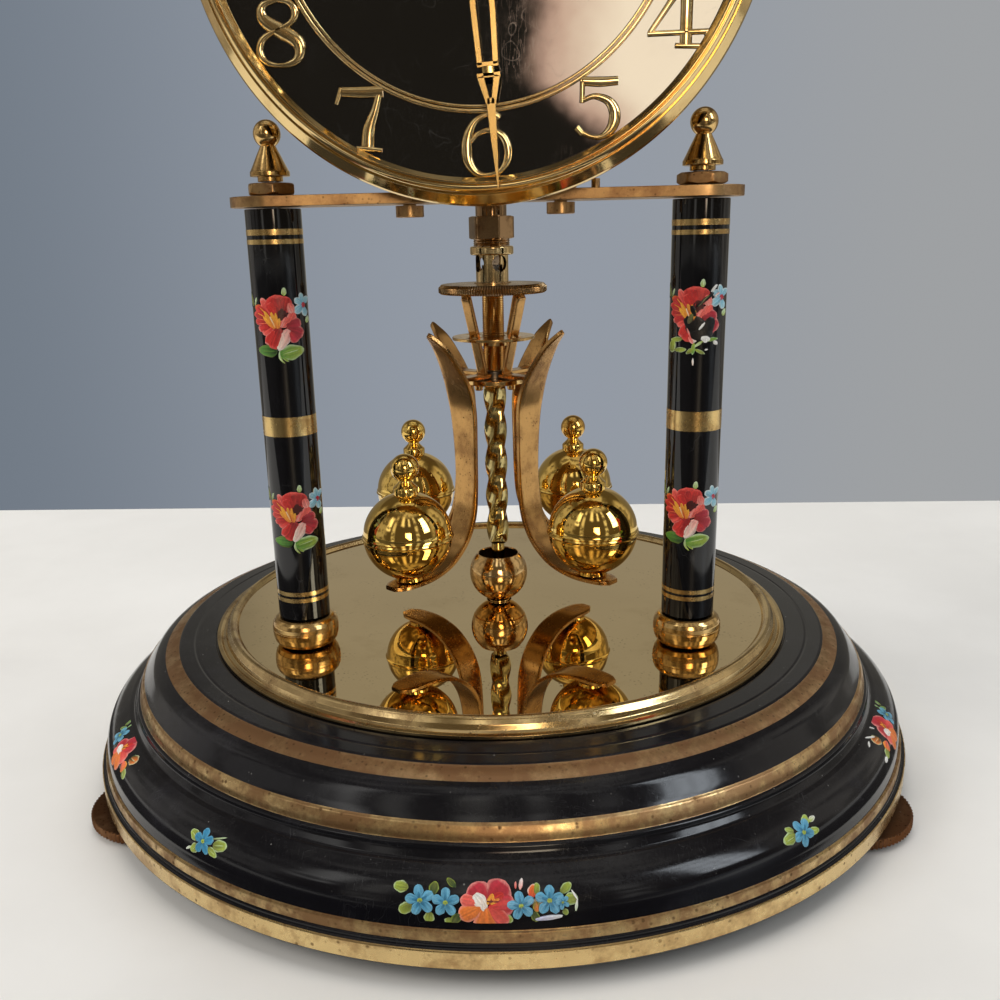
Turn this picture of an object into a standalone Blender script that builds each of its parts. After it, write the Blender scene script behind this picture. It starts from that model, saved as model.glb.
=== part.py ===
# Torsion pendulum clock: stepped base, two pillars, platform, movement, dial, four-ball pendulum
import bpy
import bmesh
from math import pi, cos, sin, acos, atan2, hypot, radians, sqrt
from mathutils import Matrix

MM = 0.001

# Fits and facets
GAP = 0.3 * MM
OVERRUN = 1.0 * MM
WELD = 0.001 * MM
RIM_STEPS = 48
TURN_STEPS = 20
SMALL_STEPS = 12
BALL_STEPS = 16
HOLE_STEPS = 8
SHARP_ANGLE = radians(35)
DIAGONAL = sqrt(2)

# Base: hollow stepped shell on three levelling screws
RIM_RADIUS = 95.0 * MM
BASE_HEIGHT = 27.0 * MM
BASE_OUTER_SHARES = [
    (1.0, 0.0), (1.0, 0.141), (0.992, 0.196), (0.987, 0.282), (0.981, 0.304), (0.966, 0.448),
    (0.923, 0.556), (0.907, 0.607), (0.897, 0.652), (0.888, 0.756), (0.877, 0.796), (0.863, 0.87),
    (0.832, 0.937), (0.8, 0.989), (0.79, 1.0), (0.714, 1.0), (0.714, 0.989)]
RECESS_FLOOR_SHARE = 0.989
BASE_INNER_SHARES = [
    (0.59, 0.989), (0.59, 0.945), (0.785, 0.93), (0.832, 0.88), (0.869, 0.72),
    (0.902, 0.52), (0.974, 0.2), (0.976, 0.0)]
FOOT_HEIGHT = 4.2 * MM
FOOT_CIRCLE_SHARE = 0.88421
FOOT_CIRCLE = RIM_RADIUS * FOOT_CIRCLE_SHARE
FOOT_BEARINGS = {"rear": radians(90), "left": radians(210), "right": radians(330)}
FOOT_DISC_RADIUS = 14.5 * MM
FOOT_DISC_THICKNESS = 2.0 * MM
FOOT_TIP_HEIGHT = 1.0 * MM
FOOT_TIP_RADIUS = 6.0 * MM
FOOT_TOE_RADIUS = 2.5 * MM
FOOT_KNURLS = 24
KNURL_DEPTH = 0.4 * MM
STUD_RADIUS = 2.0 * MM
STUD_TOP_SHARE = 0.4259
STUD_TOP = BASE_HEIGHT * STUD_TOP_SHARE
BOSS_RADIUS = 4.2 * MM
BOSS_BOTTOM_SHARE = 0.0741
BOSS_BOTTOM = BASE_HEIGHT * BOSS_BOTTOM_SHARE
BOSS_TOP_SHARE = 0.4815
BOSS_TOP = BASE_HEIGHT * BOSS_TOP_SHARE

# Polished plate in a shallow recess. Heights from here on are measured from the base's top
PLATE_EDGE_SHARE = 0.70947
PLATE_EDGE_RADIUS = RIM_RADIUS * PLATE_EDGE_SHARE
PLATE_RADIUS_SHARE = 0.65789
PLATE_RADIUS = RIM_RADIUS * PLATE_RADIUS_SHARE
BEAD_RADIUS_SHARE = 0.67105
BEAD_RADIUS = RIM_RADIUS * BEAD_RADIUS_SHARE
COVE_RADIUS_SHARE = 0.68842
COVE_RADIUS = RIM_RADIUS * COVE_RADIUS_SHARE
PLATE_BOTTOM = GAP - BASE_HEIGHT * (1 - RECESS_FLOOR_SHARE)
PLATE_TOP = 2.2 * MM
PLATE_LIP_TOP = 0.9 * MM
BEAD_TOP = 3.2 * MM

# Locking cup in the middle of the plate
CUP_RADIUS = 7.0 * MM
CUP_SEAT_SHARE = 0.9643
CUP_CENTRE = PLATE_TOP + GAP + CUP_RADIUS * CUP_SEAT_SHARE
CUP_WALL = 1.3 * MM
CUP_FOOT_RADIUS = 3.0 * MM
CUP_MOUTH_SHARE = 0.7071
CUP_MOUTH_RADIUS = CUP_RADIUS * CUP_MOUTH_SHARE
CUP_FLOOR_RISE = 3.0 * MM
CUP_FLOOR = PLATE_TOP + CUP_FLOOR_RISE

# Pillars with their feet, tie rods, nuts and finials
PILLAR_X_SHARE = 0.44074
PILLAR_X = RIM_RADIUS * PILLAR_X_SHARE
PILLAR_Y_SHARE = -0.27642
PILLAR_Y = RIM_RADIUS * PILLAR_Y_SHARE
PILLAR_RADIUS = 5.52 * MM
PILLAR_TOP = 94.1 * MM
FOOT_RING_RADIUS = 7.2 * MM
FOOT_RING_HEIGHT = 6.4 * MM
FOOT_RING_SHARES = [
    (0.78, 0.0), (0.9, 0.08), (0.99, 0.34), (1.0, 0.52), (0.98, 0.72), (0.91, 0.9), (0.8, 1.0)]
ROD_RADIUS = 1.7 * MM
ROD_HEAD_RADIUS = 4.0 * MM
ROD_HEAD_HEIGHT = 2.2 * MM

# Platform across the pillar tops, with a nut and a finial over each pillar
PLATFORM_BOTTOM = PILLAR_TOP + GAP
PLATFORM_THICKNESS = 2.0 * MM
PLATFORM_TOP = PLATFORM_BOTTOM + PLATFORM_THICKNESS
HEX_NUT_BOTTOM = PLATFORM_TOP + GAP
HEX_NUT_HEIGHT = 2.2 * MM
HEX_NUT_CORNER = 4.95 * MM
FINIAL_RADIUS = 4.1 * MM
FINIAL_BOTTOM = HEX_NUT_BOTTOM + HEX_NUT_HEIGHT + GAP
FINIAL_HEIGHT = 11.4 * MM
FINIAL_TOP = FINIAL_BOTTOM + FINIAL_HEIGHT
FINIAL_SHARES = [
    (0.6, 0.0), (0.57, 0.08), (1.0, 0.1), (1.0, 0.19), (0.82, 0.22), (0.55, 0.38), (0.37, 0.55),
    (0.45, 0.6), (0.67, 0.78), (0.47, 0.93), (0.0, 1.0)]
ROD_END = 2.8 * MM
ROD_TOP = FINIAL_BOTTOM + ROD_END
FINIAL_BORE_TOP = ROD_TOP + GAP
PLATFORM_EAR_RADIUS = 8.1 * MM
PLATFORM_BAR_HALF_DEPTH = 7.4 * MM
PLATFORM_PIN_X = 21.5 * MM
PLATFORM_PIN_RADIUS = 0.85 * MM
PLATFORM_PIN_HEIGHT = 1.9 * MM
SEAT_X = 14.75 * MM
SCREW_HEAD_RADIUS = 2.75 * MM
SCREW_HEAD_HEIGHT = 2.0 * MM
SCREW_RADIUS = 1.25 * MM
SCREW_LENGTH = 5.2 * MM

# Movement plates: outlines in the dial's own view, x to the right and y up from the centre arbor
BACK_PLATE_REAR_Y = -15.5 * MM
PLATE_THICKNESS = 1.5 * MM
PLATE_SPACING = 18.5 * MM
PLATES_DEPTH = PLATE_THICKNESS * 2 + PLATE_SPACING
BARREL_PITCH = 18.0 * MM
MOVEMENT_HALF_WIDTH_SHARE = 1.8333
MOVEMENT_HALF_WIDTH = BARREL_PITCH * MOVEMENT_HALF_WIDTH_SHARE
MOVEMENT_TOP_SHARE = 2.2778
MOVEMENT_TOP = BARREL_PITCH * MOVEMENT_TOP_SHARE
MOVEMENT_BOTTOM_SHARE = 2.6278
MOVEMENT_BOTTOM = BARREL_PITCH * MOVEMENT_BOTTOM_SHARE
DIAL_HEIGHT = PLATFORM_TOP + GAP + MOVEMENT_BOTTOM
MOVEMENT_OUTLINE_SHARES = [
    (-0.54, -1.0), (0.54, -1.0), (0.85, -0.7), (1.0, -0.25), (1.0, 0.55), (0.6, 1.0), (-0.6, 1.0),
    (-1.0, 0.55), (-1.0, -0.25), (-0.85, -0.7)]
SPACER_RADIUS = 3.0 * MM
SPACER_TENON_RADIUS = 1.3 * MM
SPACER_TOP_X_SHARE = -1.1111
SPACER_TOP_X = BARREL_PITCH * SPACER_TOP_X_SHARE
SPACER_TOP_Y_SHARE = 1.6667
SPACER_TOP_Y = BARREL_PITCH * SPACER_TOP_Y_SHARE
ARBOR_RADIUS = 1.2 * MM
PIVOT_RADIUS = 0.7 * MM
PIVOT_BORE = PIVOT_RADIUS + GAP

# Going train: teeth, and pitch radii that follow the barrel wheel's
BARREL_TEETH, SECOND_TEETH, THIRD_TEETH, TRAIN_TEETH = 60, 54, 48, 32
SMALL_LEAVES, TRAIN_LEAVES, ESCAPE_TEETH = 6, 8, 15
SECOND_PITCH_SHARE = 0.75
SECOND_PITCH = BARREL_PITCH * SECOND_PITCH_SHARE
THIRD_PITCH_SHARE = 0.66667
THIRD_PITCH = BARREL_PITCH * THIRD_PITCH_SHARE
TRAIN_PITCH_SHARE = 0.6
TRAIN_PITCH = BARREL_PITCH * TRAIN_PITCH_SHARE
ESCAPE_SHARE = 0.44444
ESCAPE_RADIUS = BARREL_PITCH * ESCAPE_SHARE
CANNON_LEAVES, MINUTE_TEETH, MINUTE_LEAVES, HOUR_TEETH = 8, 24, 6, 24
MOTION_DISTANCE_SHARE = 0.55556
MOTION_DISTANCE = BARREL_PITCH * MOTION_DISTANCE_SHARE
ADDENDUM_SHARE = 0.8
DEDENDUM_SHARE = 1.3
WHEEL_THICKNESS = 1.0 * MM
PINION_OVERHANG = 0.5 * MM
BARREL_DROP_SHARE = 1.55556
BARREL_DROP = BARREL_PITCH * BARREL_DROP_SHARE
SECOND_BEARING = radians(20)
FOURTH_BEARING = radians(125.4)
THIRD_WHEEL_BACK = 2.7 * MM
SECOND_WHEEL_BACK = 4.9 * MM
BARREL_WHEEL_BACK = 7.4 * MM
ESCAPE_WHEEL_BACK = 9.5 * MM
FOURTH_WHEEL_BACK = 13.9 * MM
DRUM_SHARE = 0.86667
DRUM_RADIUS = BARREL_PITCH * DRUM_SHARE
DRUM_FRONT = 19.0 * MM
BARREL_ARBOR_RADIUS = 2.2 * MM
WINDING_REACH = 7.0 * MM
WINDING_SQUARE = 1.6 * MM
RATCHET_TEETH = 12
RATCHET_RADIUS = 6.0 * MM
RATCHET_DEPTH = 1.1 * MM
RATCHET_THICKNESS = 1.2 * MM
CLICK_DISTANCE = 11.5 * MM
CLICK_BEARING = radians(225)
CLICK_LEAD = radians(22)
CLICK_WIDTH = 1.4 * MM
CLICK_PIVOT_RADIUS = 1.9 * MM
CLICK_STUD_RADIUS = 0.8 * MM

# Escapement, fork and suspension
PALLET_CLEARANCE = 0.8 * MM
PALLET_SPAN = radians(42)
PALLET_WIDTH = 1.2 * MM
ANCHOR_BOW_RISE = 0.8 * MM
ANCHOR_RISE = ESCAPE_RADIUS + PALLET_CLEARANCE + PALLET_WIDTH + ANCHOR_BOW_RISE
CRUTCH_REACH = 7.0 * MM
CRUTCH_HEIGHT = 12.0 * MM
CRUTCH_RADIUS = 0.4 * MM
FORK_RISE_SHARE = 2.3333
FORK_HEIGHT = DIAL_HEIGHT + BARREL_PITCH * FORK_RISE_SHARE
FORK_THICKNESS = 1.2 * MM
FORK_HUB = 2.0 * MM
FORK_TINE = 0.9 * MM
FORK_LENGTH = 10.0 * MM
STRIP_HALF_WIDTH = 0.3 * MM
STRIP_HALF_THICKNESS = 0.12 * MM
STRIP_SLOT = STRIP_HALF_WIDTH + GAP
TOP_BLOCK_RISE = 3.5 * MM
TOP_BLOCK_BOTTOM = FORK_HEIGHT + TOP_BLOCK_RISE
TOP_BLOCK_HEIGHT = 5.0 * MM
TOP_BLOCK_HALF = 1.6 * MM
BRACKET_HALF_WIDTH = 5.0 * MM
BRACKET_THICKNESS = 1.6 * MM
BRACKET_DROP = 6.5 * MM
BRACKET_BOTTOM = FORK_HEIGHT - BRACKET_DROP
GUARD_RADIUS = 3.1 * MM
GUARD_BORE = 2.2 * MM
GUARD_RISE = 5.6 * MM
GUARD_TOP = PLATFORM_TOP + GUARD_RISE
GUARD_BRACKET_HALF = 1.5 * MM
GUARD_BRACKET_RISE = 1.4 * MM
GUARD_BRACKET_HEIGHT = PLATFORM_TOP + GUARD_BRACKET_RISE
COLLAR_DROP = 2.2 * MM
COLLAR_TOP = PLATFORM_BOTTOM - COLLAR_DROP
COLLAR_HEIGHT = 4.9 * MM
COLLAR_BOTTOM = COLLAR_TOP - COLLAR_HEIGHT
COLLAR_CORNER = 5.2 * MM
NECK_HEIGHT = 1.4 * MM
NECK_BOTTOM = COLLAR_BOTTOM - NECK_HEIGHT
NECK_RADIUS = 4.1 * MM

# Dial, bezel and hands: depths forward of the back plate's rear face
BEZEL_RADIUS = 50.6 * MM
BEZEL_DEPTH = 7.0 * MM
BEZEL_BACK = 21.7 * MM
BEZEL_BORE_SHARE = 0.926
BEZEL_SEAT_SHARE = 0.75
BEZEL_SHARES = [
    (0.926, 0.75), (0.926, 0.0), (0.985, 0.0), (0.985, 0.6), (1.0, 0.65), (0.965, 0.78),
    (0.95, 1.0), (0.93, 1.0), (0.905, 0.75)]
DIAL_THICKNESS = 1.0 * MM
DIAL_BACK = BEZEL_BACK + BEZEL_DEPTH * BEZEL_SEAT_SHARE - GAP - DIAL_THICKNESS
DIAL_RADIUS = BEZEL_RADIUS * BEZEL_BORE_SHARE - GAP
DIAL_HOLE = 3.2 * MM
HAND_THICKNESS = 0.5 * MM
HOUR_HAND_BACK = 29.0 * MM
MINUTE_HAND_BACK = 30.6 * MM
HAND_BOSS = 3.0 * MM
HOUR_PIPE_RADIUS = 2.1 * MM
HOUR_PIPE_BORE = 1.5 * MM
HOUR_WHEEL_BACK = 23.8 * MM
CANNON_BACK = 21.9 * MM
MINUTE_WHEEL_BACK = 22.2 * MM
CANNON_PIPE_RADIUS = 1.15 * MM
MINUTE_HAND_LENGTH = 48.0 * MM
MINUTE_HAND_OUTLINE_SHARES = [
    (0.0084, 0.0), (0.03, 0.11), (0.041, 0.3), (0.037, 0.575), (0.037, 0.59), (0.021, 0.593),
    (0.021, 0.609), (0.041, 0.612), (0.041, 0.625), (0.0166, 0.711), (0.004, 1.0)]
HAND_WINDOW_SHARES = [(0.006, 0.1), (0.02, 0.3), (0.018, 0.56)]
HOUR_HAND_SCALE_SHARE = 0.62
REST_HOUR = 10
MINUTE_HAND_REST = radians(184.1)
HOUR_HAND_REST = 2 * pi - (2 * pi * REST_HOUR + 2 * pi - MINUTE_HAND_REST) / 12
NUT_RADIUS = 2.0 * MM
NUT_THICKNESS = 0.9 * MM

# Pendulum, turned a few degrees from square: the top hangs from the guard, the foot clears the plate
PENDULUM_REST = radians(4.2)
FLANGE_CLEARANCE = 0.4 * MM
TUBE_FLANGE_TOP = NECK_BOTTOM - FLANGE_CLEARANCE
TUBE_FLANGE_HEIGHT = 1.6 * MM
TUBE_FLANGE_BOTTOM = TUBE_FLANGE_TOP - TUBE_FLANGE_HEIGHT
TUBE_FLANGE_RADIUS = 4.85 * MM
TUBE_RADIUS = 3.65 * MM
TUBE_BORE = 2.5 * MM
TUBE_HEIGHT = 7.4 * MM
TUBE_BOTTOM = TUBE_FLANGE_TOP - TUBE_HEIGHT
CROSS_HOLE_RADIUS = 1.8 * MM
CROSS_HOLE_DROP = 1.9 * MM
CROSS_HOLE_HEIGHT = TUBE_FLANGE_BOTTOM - CROSS_HOLE_DROP
CROSS_HOLE_BEARING = radians(-57.5)
BOTTOM_BLOCK_TOP = TUBE_FLANGE_TOP - GAP
BOTTOM_BLOCK_HEIGHT = 3.4 * MM
BOTTOM_BLOCK_HALF = 1.55 * MM
DISC_TOP = TUBE_BOTTOM - GAP
DISC_THICKNESS = 2.2 * MM
DISC_BOTTOM = DISC_TOP - DISC_THICKNESS
DISC_RADIUS = 12.2 * MM
DISC_KNURLS = 40
SLEEVE_RADIUS = 2.5 * MM
SLEEVE_LENGTH = 17.1 * MM
SLEEVE_BOTTOM = DISC_BOTTOM - SLEEVE_LENGTH
SLEEVE_BORE = 1.6 * MM
SPINDLE_RADIUS = 1.3 * MM
HUB_CLEARANCE = 1.9 * MM
HUB_TOP = SLEEVE_BOTTOM - HUB_CLEARANCE
HUB_THICKNESS = 1.2 * MM
HUB_BOTTOM = HUB_TOP - HUB_THICKNESS
HUB_RADIUS = 7.15 * MM
RING_RISE = 8.8 * MM
RING_BOTTOM = HUB_TOP + RING_RISE
RING_THICKNESS = 0.7 * MM
RING_RADIUS = 9.4 * MM
TWIST_SIDE = 4.0 * MM
TWIST_LEAD = 8.0 * MM
TWIST_CLEARANCE = 2.4 * MM
TWIST_BOTTOM = CUP_CENTRE + CUP_MOUTH_RADIUS + TWIST_CLEARANCE
TWIST_STEP = 2.0 * MM
PIN_RADIUS = 1.55 * MM
PIN_CLEARANCE = 3.8 * MM
PIN_BOTTOM = CUP_FLOOR + PIN_CLEARANCE
ARM_THICKNESS = 1.0 * MM
ARM_HALF_WIDTH = 3.5 * MM
ARM_CLEARANCE = 12.2 * MM
ARM_FLOOR = PLATE_TOP + ARM_CLEARANCE
ARM_RISE_SHARE = 0.27
ARM_TOP = HUB_TOP + (HUB_TOP - ARM_FLOOR) * ARM_RISE_SHARE
ARM_REACH = 34.5 * MM
LUG_THICKNESS = 1.0 * MM
LUG_SHARE = 0.36232
LUG_REACH = ARM_REACH * LUG_SHARE
PRONG_HALF = 0.8 * MM
PRONG_FOOT = 3.9 * MM
PRONG_HEAD = 8.8 * MM
PRONG_CLEARANCE = 0.6 * MM
PRONG_TOP = DISC_BOTTOM - PRONG_CLEARANCE
SLOT_INNER = 4.4 * MM
SLOT_OUTER = 7.9 * MM
SLOT_HALF = 1.2 * MM
BALL_RADIUS = 9.8 * MM
BALL_ORBIT = 28.8 * MM
BALL_SEAT = ARM_FLOOR + ARM_THICKNESS / 2 + GAP
BALL_COLLAR_HEIGHT = 0.3 * MM
BALL_CENTRE = BALL_SEAT + BALL_COLLAR_HEIGHT + BALL_RADIUS
BALL_COLLAR_RADIUS = 3.2 * MM
SEAM_PROUD = 0.5 * MM
SEAM_HALF = 0.5 * MM
KNOB_HEIGHT = 8.5 * MM
KNOB_TOP = BALL_CENTRE + BALL_RADIUS + KNOB_HEIGHT
KNOB_RADIUS = 3.1 * MM
KNOB_SHARES = [
    (0.87, 0.0), (0.87, 0.18), (0.42, 0.37), (0.62, 0.46), (1.0, 0.66), (0.75, 0.9), (0.0, 1.0)]

# Strap arm centre line between the leaf tip and the ball seat: radius share of the reach, height share
ARM_LINE_SHARES = [
    (0.59, 1.0), (0.496, 0.944), (0.417, 0.869), (0.357, 0.795), (0.319, 0.72), (0.299, 0.646),
    (0.29, 0.534), (0.288, 0.422), (0.293, 0.338), (0.313, 0.235), (0.362, 0.151), (0.44, 0.086),
    (0.56, 0.032), (0.73, 0.0), (0.92, 0.0), (1.0, 0.0)]
ARM_WIDTH_SHARES = [
    0.15, 0.56, 0.84, 1.05, 1.14, 1.1, 1.0, 0.95, 0.96, 1.0, 1.0, 1.0, 1.0, 1.0, 0.9, 0.45]

COLOURS = {
    "black_enamel": ((0.012, 0.012, 0.018), 0.22, 0.0),
    "mirror_brass": ((0.62, 0.48, 0.27), 0.12, 1.0),
    "polished_brass": ((0.80, 0.56, 0.20), 0.2, 1.0),
    "aged_brass": ((0.45, 0.31, 0.14), 0.42, 1.0),
    "satin_brass": ((0.68, 0.50, 0.22), 0.35, 1.0),
    "steel": ((0.45, 0.45, 0.46), 0.35, 1.0),
}


def clear_scene():
    for item in list(bpy.data.objects):
        bpy.data.objects.remove(item, do_unlink=True)


def make_materials():
    made = {}
    for name, (colour, roughness, metallic) in COLOURS.items():
        material = bpy.data.materials.new(name)
        material.use_nodes = True
        shader = material.node_tree.nodes["Principled BSDF"]
        shader.inputs["Base Color"].default_value = (*colour, 1.0)
        shader.inputs["Roughness"].default_value = roughness
        shader.inputs["Metallic"].default_value = metallic
        material.diffuse_color = (*colour, 1.0)
        made[name] = material
    return made


def empty(name, parent=None, location=(0, 0, 0), rotation=(0, 0, 0)):
    holder = bpy.data.objects.new(name, None)
    bpy.context.scene.collection.objects.link(holder)
    holder.parent = parent
    holder.location = location
    holder.rotation_euler = rotation
    return holder


def finish(name, bm, material, parent, location=(0, 0, 0), rotation=(0, 0, 0)):
    bmesh.ops.remove_doubles(bm, verts=bm.verts, dist=WELD)
    bmesh.ops.recalc_face_normals(bm, faces=bm.faces)
    mesh = bpy.data.meshes.new(name)
    bm.to_mesh(mesh)
    bm.free()
    mesh.materials.append(MATERIALS[material])
    mesh.shade_smooth()
    mesh.set_sharp_from_angle(angle=SHARP_ANGLE)
    item = bpy.data.objects.new(name, mesh)
    bpy.context.scene.collection.objects.link(item)
    item.parent = parent
    item.location = location
    item.rotation_euler = rotation
    return item


# Ring of (radius, height) points spun about the local z axis
def turned(points, steps):
    bm = bmesh.new()
    verts = [bm.verts.new((radius, 0, height)) for radius, height in points]
    edges = []
    for index, vert in enumerate(verts):
        previous = verts[index - 1]
        if vert.co.x > WELD or previous.co.x > WELD:
            edges.append(bm.edges.new((previous, vert)))
    bmesh.ops.spin(bm, geom=verts + edges, cent=(0, 0, 0), axis=(0, 0, 1), angle=2 * pi,
                   steps=steps, use_merge=True)
    bmesh.ops.remove_doubles(bm, verts=bm.verts, dist=WELD)
    return bm


# Outline with holes, filled and extruded along the local z axis
def extruded(loops, low, high):
    bm = bmesh.new()
    edges = []
    for loop in loops:
        verts = [bm.verts.new((x, y, low)) for x, y in loop]
        edges += [bm.edges.new((verts[index - 1], verts[index])) for index in range(len(verts))]
    bmesh.ops.triangle_fill(bm, use_beauty=True, use_dissolve=False, edges=edges)
    raised = bmesh.ops.extrude_face_region(bm, geom=bm.faces[:])
    moved = [item for item in raised["geom"] if isinstance(item, bmesh.types.BMVert)]
    bmesh.ops.translate(bm, verts=moved, vec=(0, 0, high - low))
    return bm


def circle(radius, steps, centre=(0, 0), turn=0.0):
    return [(centre[0] + radius * cos(turn + 2 * pi * index / steps),
             centre[1] + radius * sin(turn + 2 * pi * index / steps)) for index in range(steps)]


def shaped(shares, radius, low, high):
    return [(radius * wide, low + (high - low) * tall) for wide, tall in shares]


def cylinder_points(radius, low, high):
    return [(0, low), (radius, low), (radius, high), (0, high)]


def tube_points(bore, radius, low, high):
    return [(bore, low), (radius, low), (radius, high), (bore, high)]


def star(teeth, outer, inner, turn):
    points = []
    for index in range(teeth):
        angle = turn + 2 * pi * index / teeth
        points.append((outer * cos(angle), outer * sin(angle)))
        points.append((inner * cos(angle + pi / teeth), inner * sin(angle + pi / teeth)))
    return points


def gear(teeth, pitch, turn):
    module = 2 * pitch / teeth
    return star(teeth, pitch + ADDENDUM_SHARE * module, pitch - DEDENDUM_SHARE * module, turn)


# Turn of a wheel whose tooth gap faces a tooth of the wheel that drives it
def meshed(turn, teeth, bearing, other_teeth):
    offset = ((bearing - turn) * teeth / (2 * pi)) % 1
    return bearing + pi - (0.5 - offset) * 2 * pi / other_teeth


def combine(target, tool, operation):
    tool.parent = target.parent
    tool.location = target.location
    tool.rotation_euler = target.rotation_euler
    tool.hide_render = True
    tool.display_type = "WIRE"
    change = target.modifiers.new(operation.lower(), "BOOLEAN")
    change.operation = operation
    change.object = tool
    change.solver = "EXACT"


def fuse(target, bm):
    combine(target, finish(target.name + "_join", bm, "steel", None), "UNION")


def cut(target, bm):
    combine(target, finish(target.name + "_cut", bm, "steel", None), "DIFFERENCE")


def rotated(bm, angle, axis):
    bmesh.ops.rotate(bm, verts=bm.verts, cent=(0, 0, 0), matrix=Matrix.Rotation(angle, 3, axis))
    return bm


def moved(bm, x, y, z=0):
    bmesh.ops.translate(bm, verts=bm.verts, vec=(x, y, z))
    return bm


def box(low, high):
    corners = [(low[0], low[1]), (high[0], low[1]), (high[0], high[1]), (low[0], high[1])]
    return extruded([corners], low[2], high[2])


# Base shell with three bored bosses for the levelling screws
def build_base():
    shell_points = shaped(BASE_OUTER_SHARES, RIM_RADIUS, 0, BASE_HEIGHT)
    shell_points += shaped(BASE_INNER_SHARES, RIM_RADIUS, 0, BASE_HEIGHT)
    shell = finish("base_shell", turned(shell_points, RIM_STEPS), "black_enamel", CLOCK)
    for bearing in FOOT_BEARINGS.values():
        x = FOOT_CIRCLE * cos(bearing)
        y = FOOT_CIRCLE * sin(bearing)
        aside = bearing + pi / RIM_STEPS
        boss = turned(cylinder_points(BOSS_RADIUS, BOSS_BOTTOM, BOSS_TOP), SMALL_STEPS)
        fuse(shell, moved(rotated(boss, aside, "Z"), x, y))
        bore = cylinder_points(STUD_RADIUS + GAP, BOSS_BOTTOM - OVERRUN, BOSS_TOP + OVERRUN)
        cut(shell, moved(rotated(turned(bore, HOLE_STEPS), aside + pi / HOLE_STEPS, "Z"), x, y))
    disc_top = FOOT_TIP_HEIGHT + FOOT_DISC_THICKNESS - FOOT_HEIGHT
    disc_bottom = FOOT_TIP_HEIGHT - FOOT_HEIGHT
    for side, bearing in FOOT_BEARINGS.items():
        place = (FOOT_CIRCLE * cos(bearing), FOOT_CIRCLE * sin(bearing), 0)
        edge = star(FOOT_KNURLS, FOOT_DISC_RADIUS, FOOT_DISC_RADIUS - KNURL_DEPTH, bearing)
        screw = finish("levelling_screw_" + side, extruded([edge], disc_bottom, disc_top),
                       "aged_brass", CLOCK, place)
        stem = [(0, -FOOT_HEIGHT), (FOOT_TOE_RADIUS, -FOOT_HEIGHT),
                (FOOT_TIP_RADIUS, disc_bottom + OVERRUN / 2), (STUD_RADIUS, disc_top - OVERRUN / 2),
                (STUD_RADIUS, STUD_TOP), (0, STUD_TOP)]
        fuse(screw, turned(stem, HOLE_STEPS))


def build_plate():
    bore = ROD_RADIUS + GAP
    profile = [(CUP_FOOT_RADIUS, PLATE_BOTTOM), (PLATE_EDGE_RADIUS, PLATE_BOTTOM),
               (PLATE_EDGE_RADIUS, PLATE_LIP_TOP), (COVE_RADIUS, PLATE_LIP_TOP),
               (BEAD_RADIUS, BEAD_TOP), (PLATE_RADIUS, PLATE_TOP), (CUP_FOOT_RADIUS, PLATE_TOP)]
    plate = finish("base_plate", turned(profile, RIM_STEPS), "mirror_brass", STAND)
    for side in (-1, 1):
        hole = turned(cylinder_points(bore, PLATE_BOTTOM - OVERRUN, PLATE_TOP + OVERRUN), HOLE_STEPS)
        cut(plate, moved(hole, side * PILLAR_X, PILLAR_Y))
    foot = PLATE_TOP + GAP
    start = -acos((CUP_CENTRE - foot) / CUP_RADIUS)
    outer = []
    mouth = acos(CUP_MOUTH_RADIUS / CUP_RADIUS)
    low = start + pi / 2
    for index in range(6):
        angle = -low + (mouth + low) * index / 5
        outer.append((CUP_RADIUS * cos(angle), CUP_CENTRE + CUP_RADIUS * sin(angle)))
    inner_radius = CUP_RADIUS - CUP_WALL
    top = outer[-1][1]
    inner = [(CUP_MOUTH_RADIUS - CUP_WALL / 2, top), (inner_radius, CUP_CENTRE),
             (CUP_MOUTH_RADIUS - CUP_WALL, CUP_FLOOR), (0, CUP_FLOOR)]
    stub = CUP_FOOT_RADIUS - GAP
    lower = [(0, PLATE_BOTTOM), (stub, PLATE_BOTTOM), (stub, foot)]
    finish("locking_cup", turned(lower + outer + inner, TURN_STEPS), "polished_brass", STAND)


def build_pillars():
    bore = ROD_RADIUS + GAP
    ring_bottom = PLATE_TOP + GAP
    ring_top = ring_bottom + FOOT_RING_HEIGHT
    head_top = PLATE_BOTTOM - GAP
    for side, name in ((-1, "left"), (1, "right")):
        place = (side * PILLAR_X, PILLAR_Y, 0)
        ring = [(bore, ring_bottom)] + shaped(FOOT_RING_SHARES, FOOT_RING_RADIUS, ring_bottom, ring_top)
        ring.append((bore, ring_top))
        finish("pillar_foot_" + name, turned(ring, TURN_STEPS), "polished_brass", STAND, place)
        tube = tube_points(bore, PILLAR_RADIUS, ring_top + GAP, PILLAR_TOP)
        finish("pillar_" + name, turned(tube, TURN_STEPS), "black_enamel", STAND, place)
        rod = [(0, head_top - ROD_HEAD_HEIGHT), (ROD_HEAD_RADIUS, head_top - ROD_HEAD_HEIGHT),
               (ROD_HEAD_RADIUS, head_top), (ROD_RADIUS, head_top), (ROD_RADIUS, ROD_TOP), (0, ROD_TOP)]
        finish("tie_rod_" + name, turned(rod, HOLE_STEPS), "steel", STAND, place)
        nut = [circle(HEX_NUT_CORNER, 6), circle(bore, HOLE_STEPS)]
        finish("hex_nut_" + name, extruded(nut, HEX_NUT_BOTTOM, HEX_NUT_BOTTOM + HEX_NUT_HEIGHT),
               "satin_brass", STAND, place)
        finial = [(bore, FINIAL_BORE_TOP), (bore, FINIAL_BOTTOM)]
        finial += shaped(FINIAL_SHARES, FINIAL_RADIUS, FINIAL_BOTTOM, FINIAL_TOP)
        finial += [(0, FINIAL_BORE_TOP)]
        finish("finial_" + name, turned(finial, SMALL_STEPS), "polished_brass", STAND, place)


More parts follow.
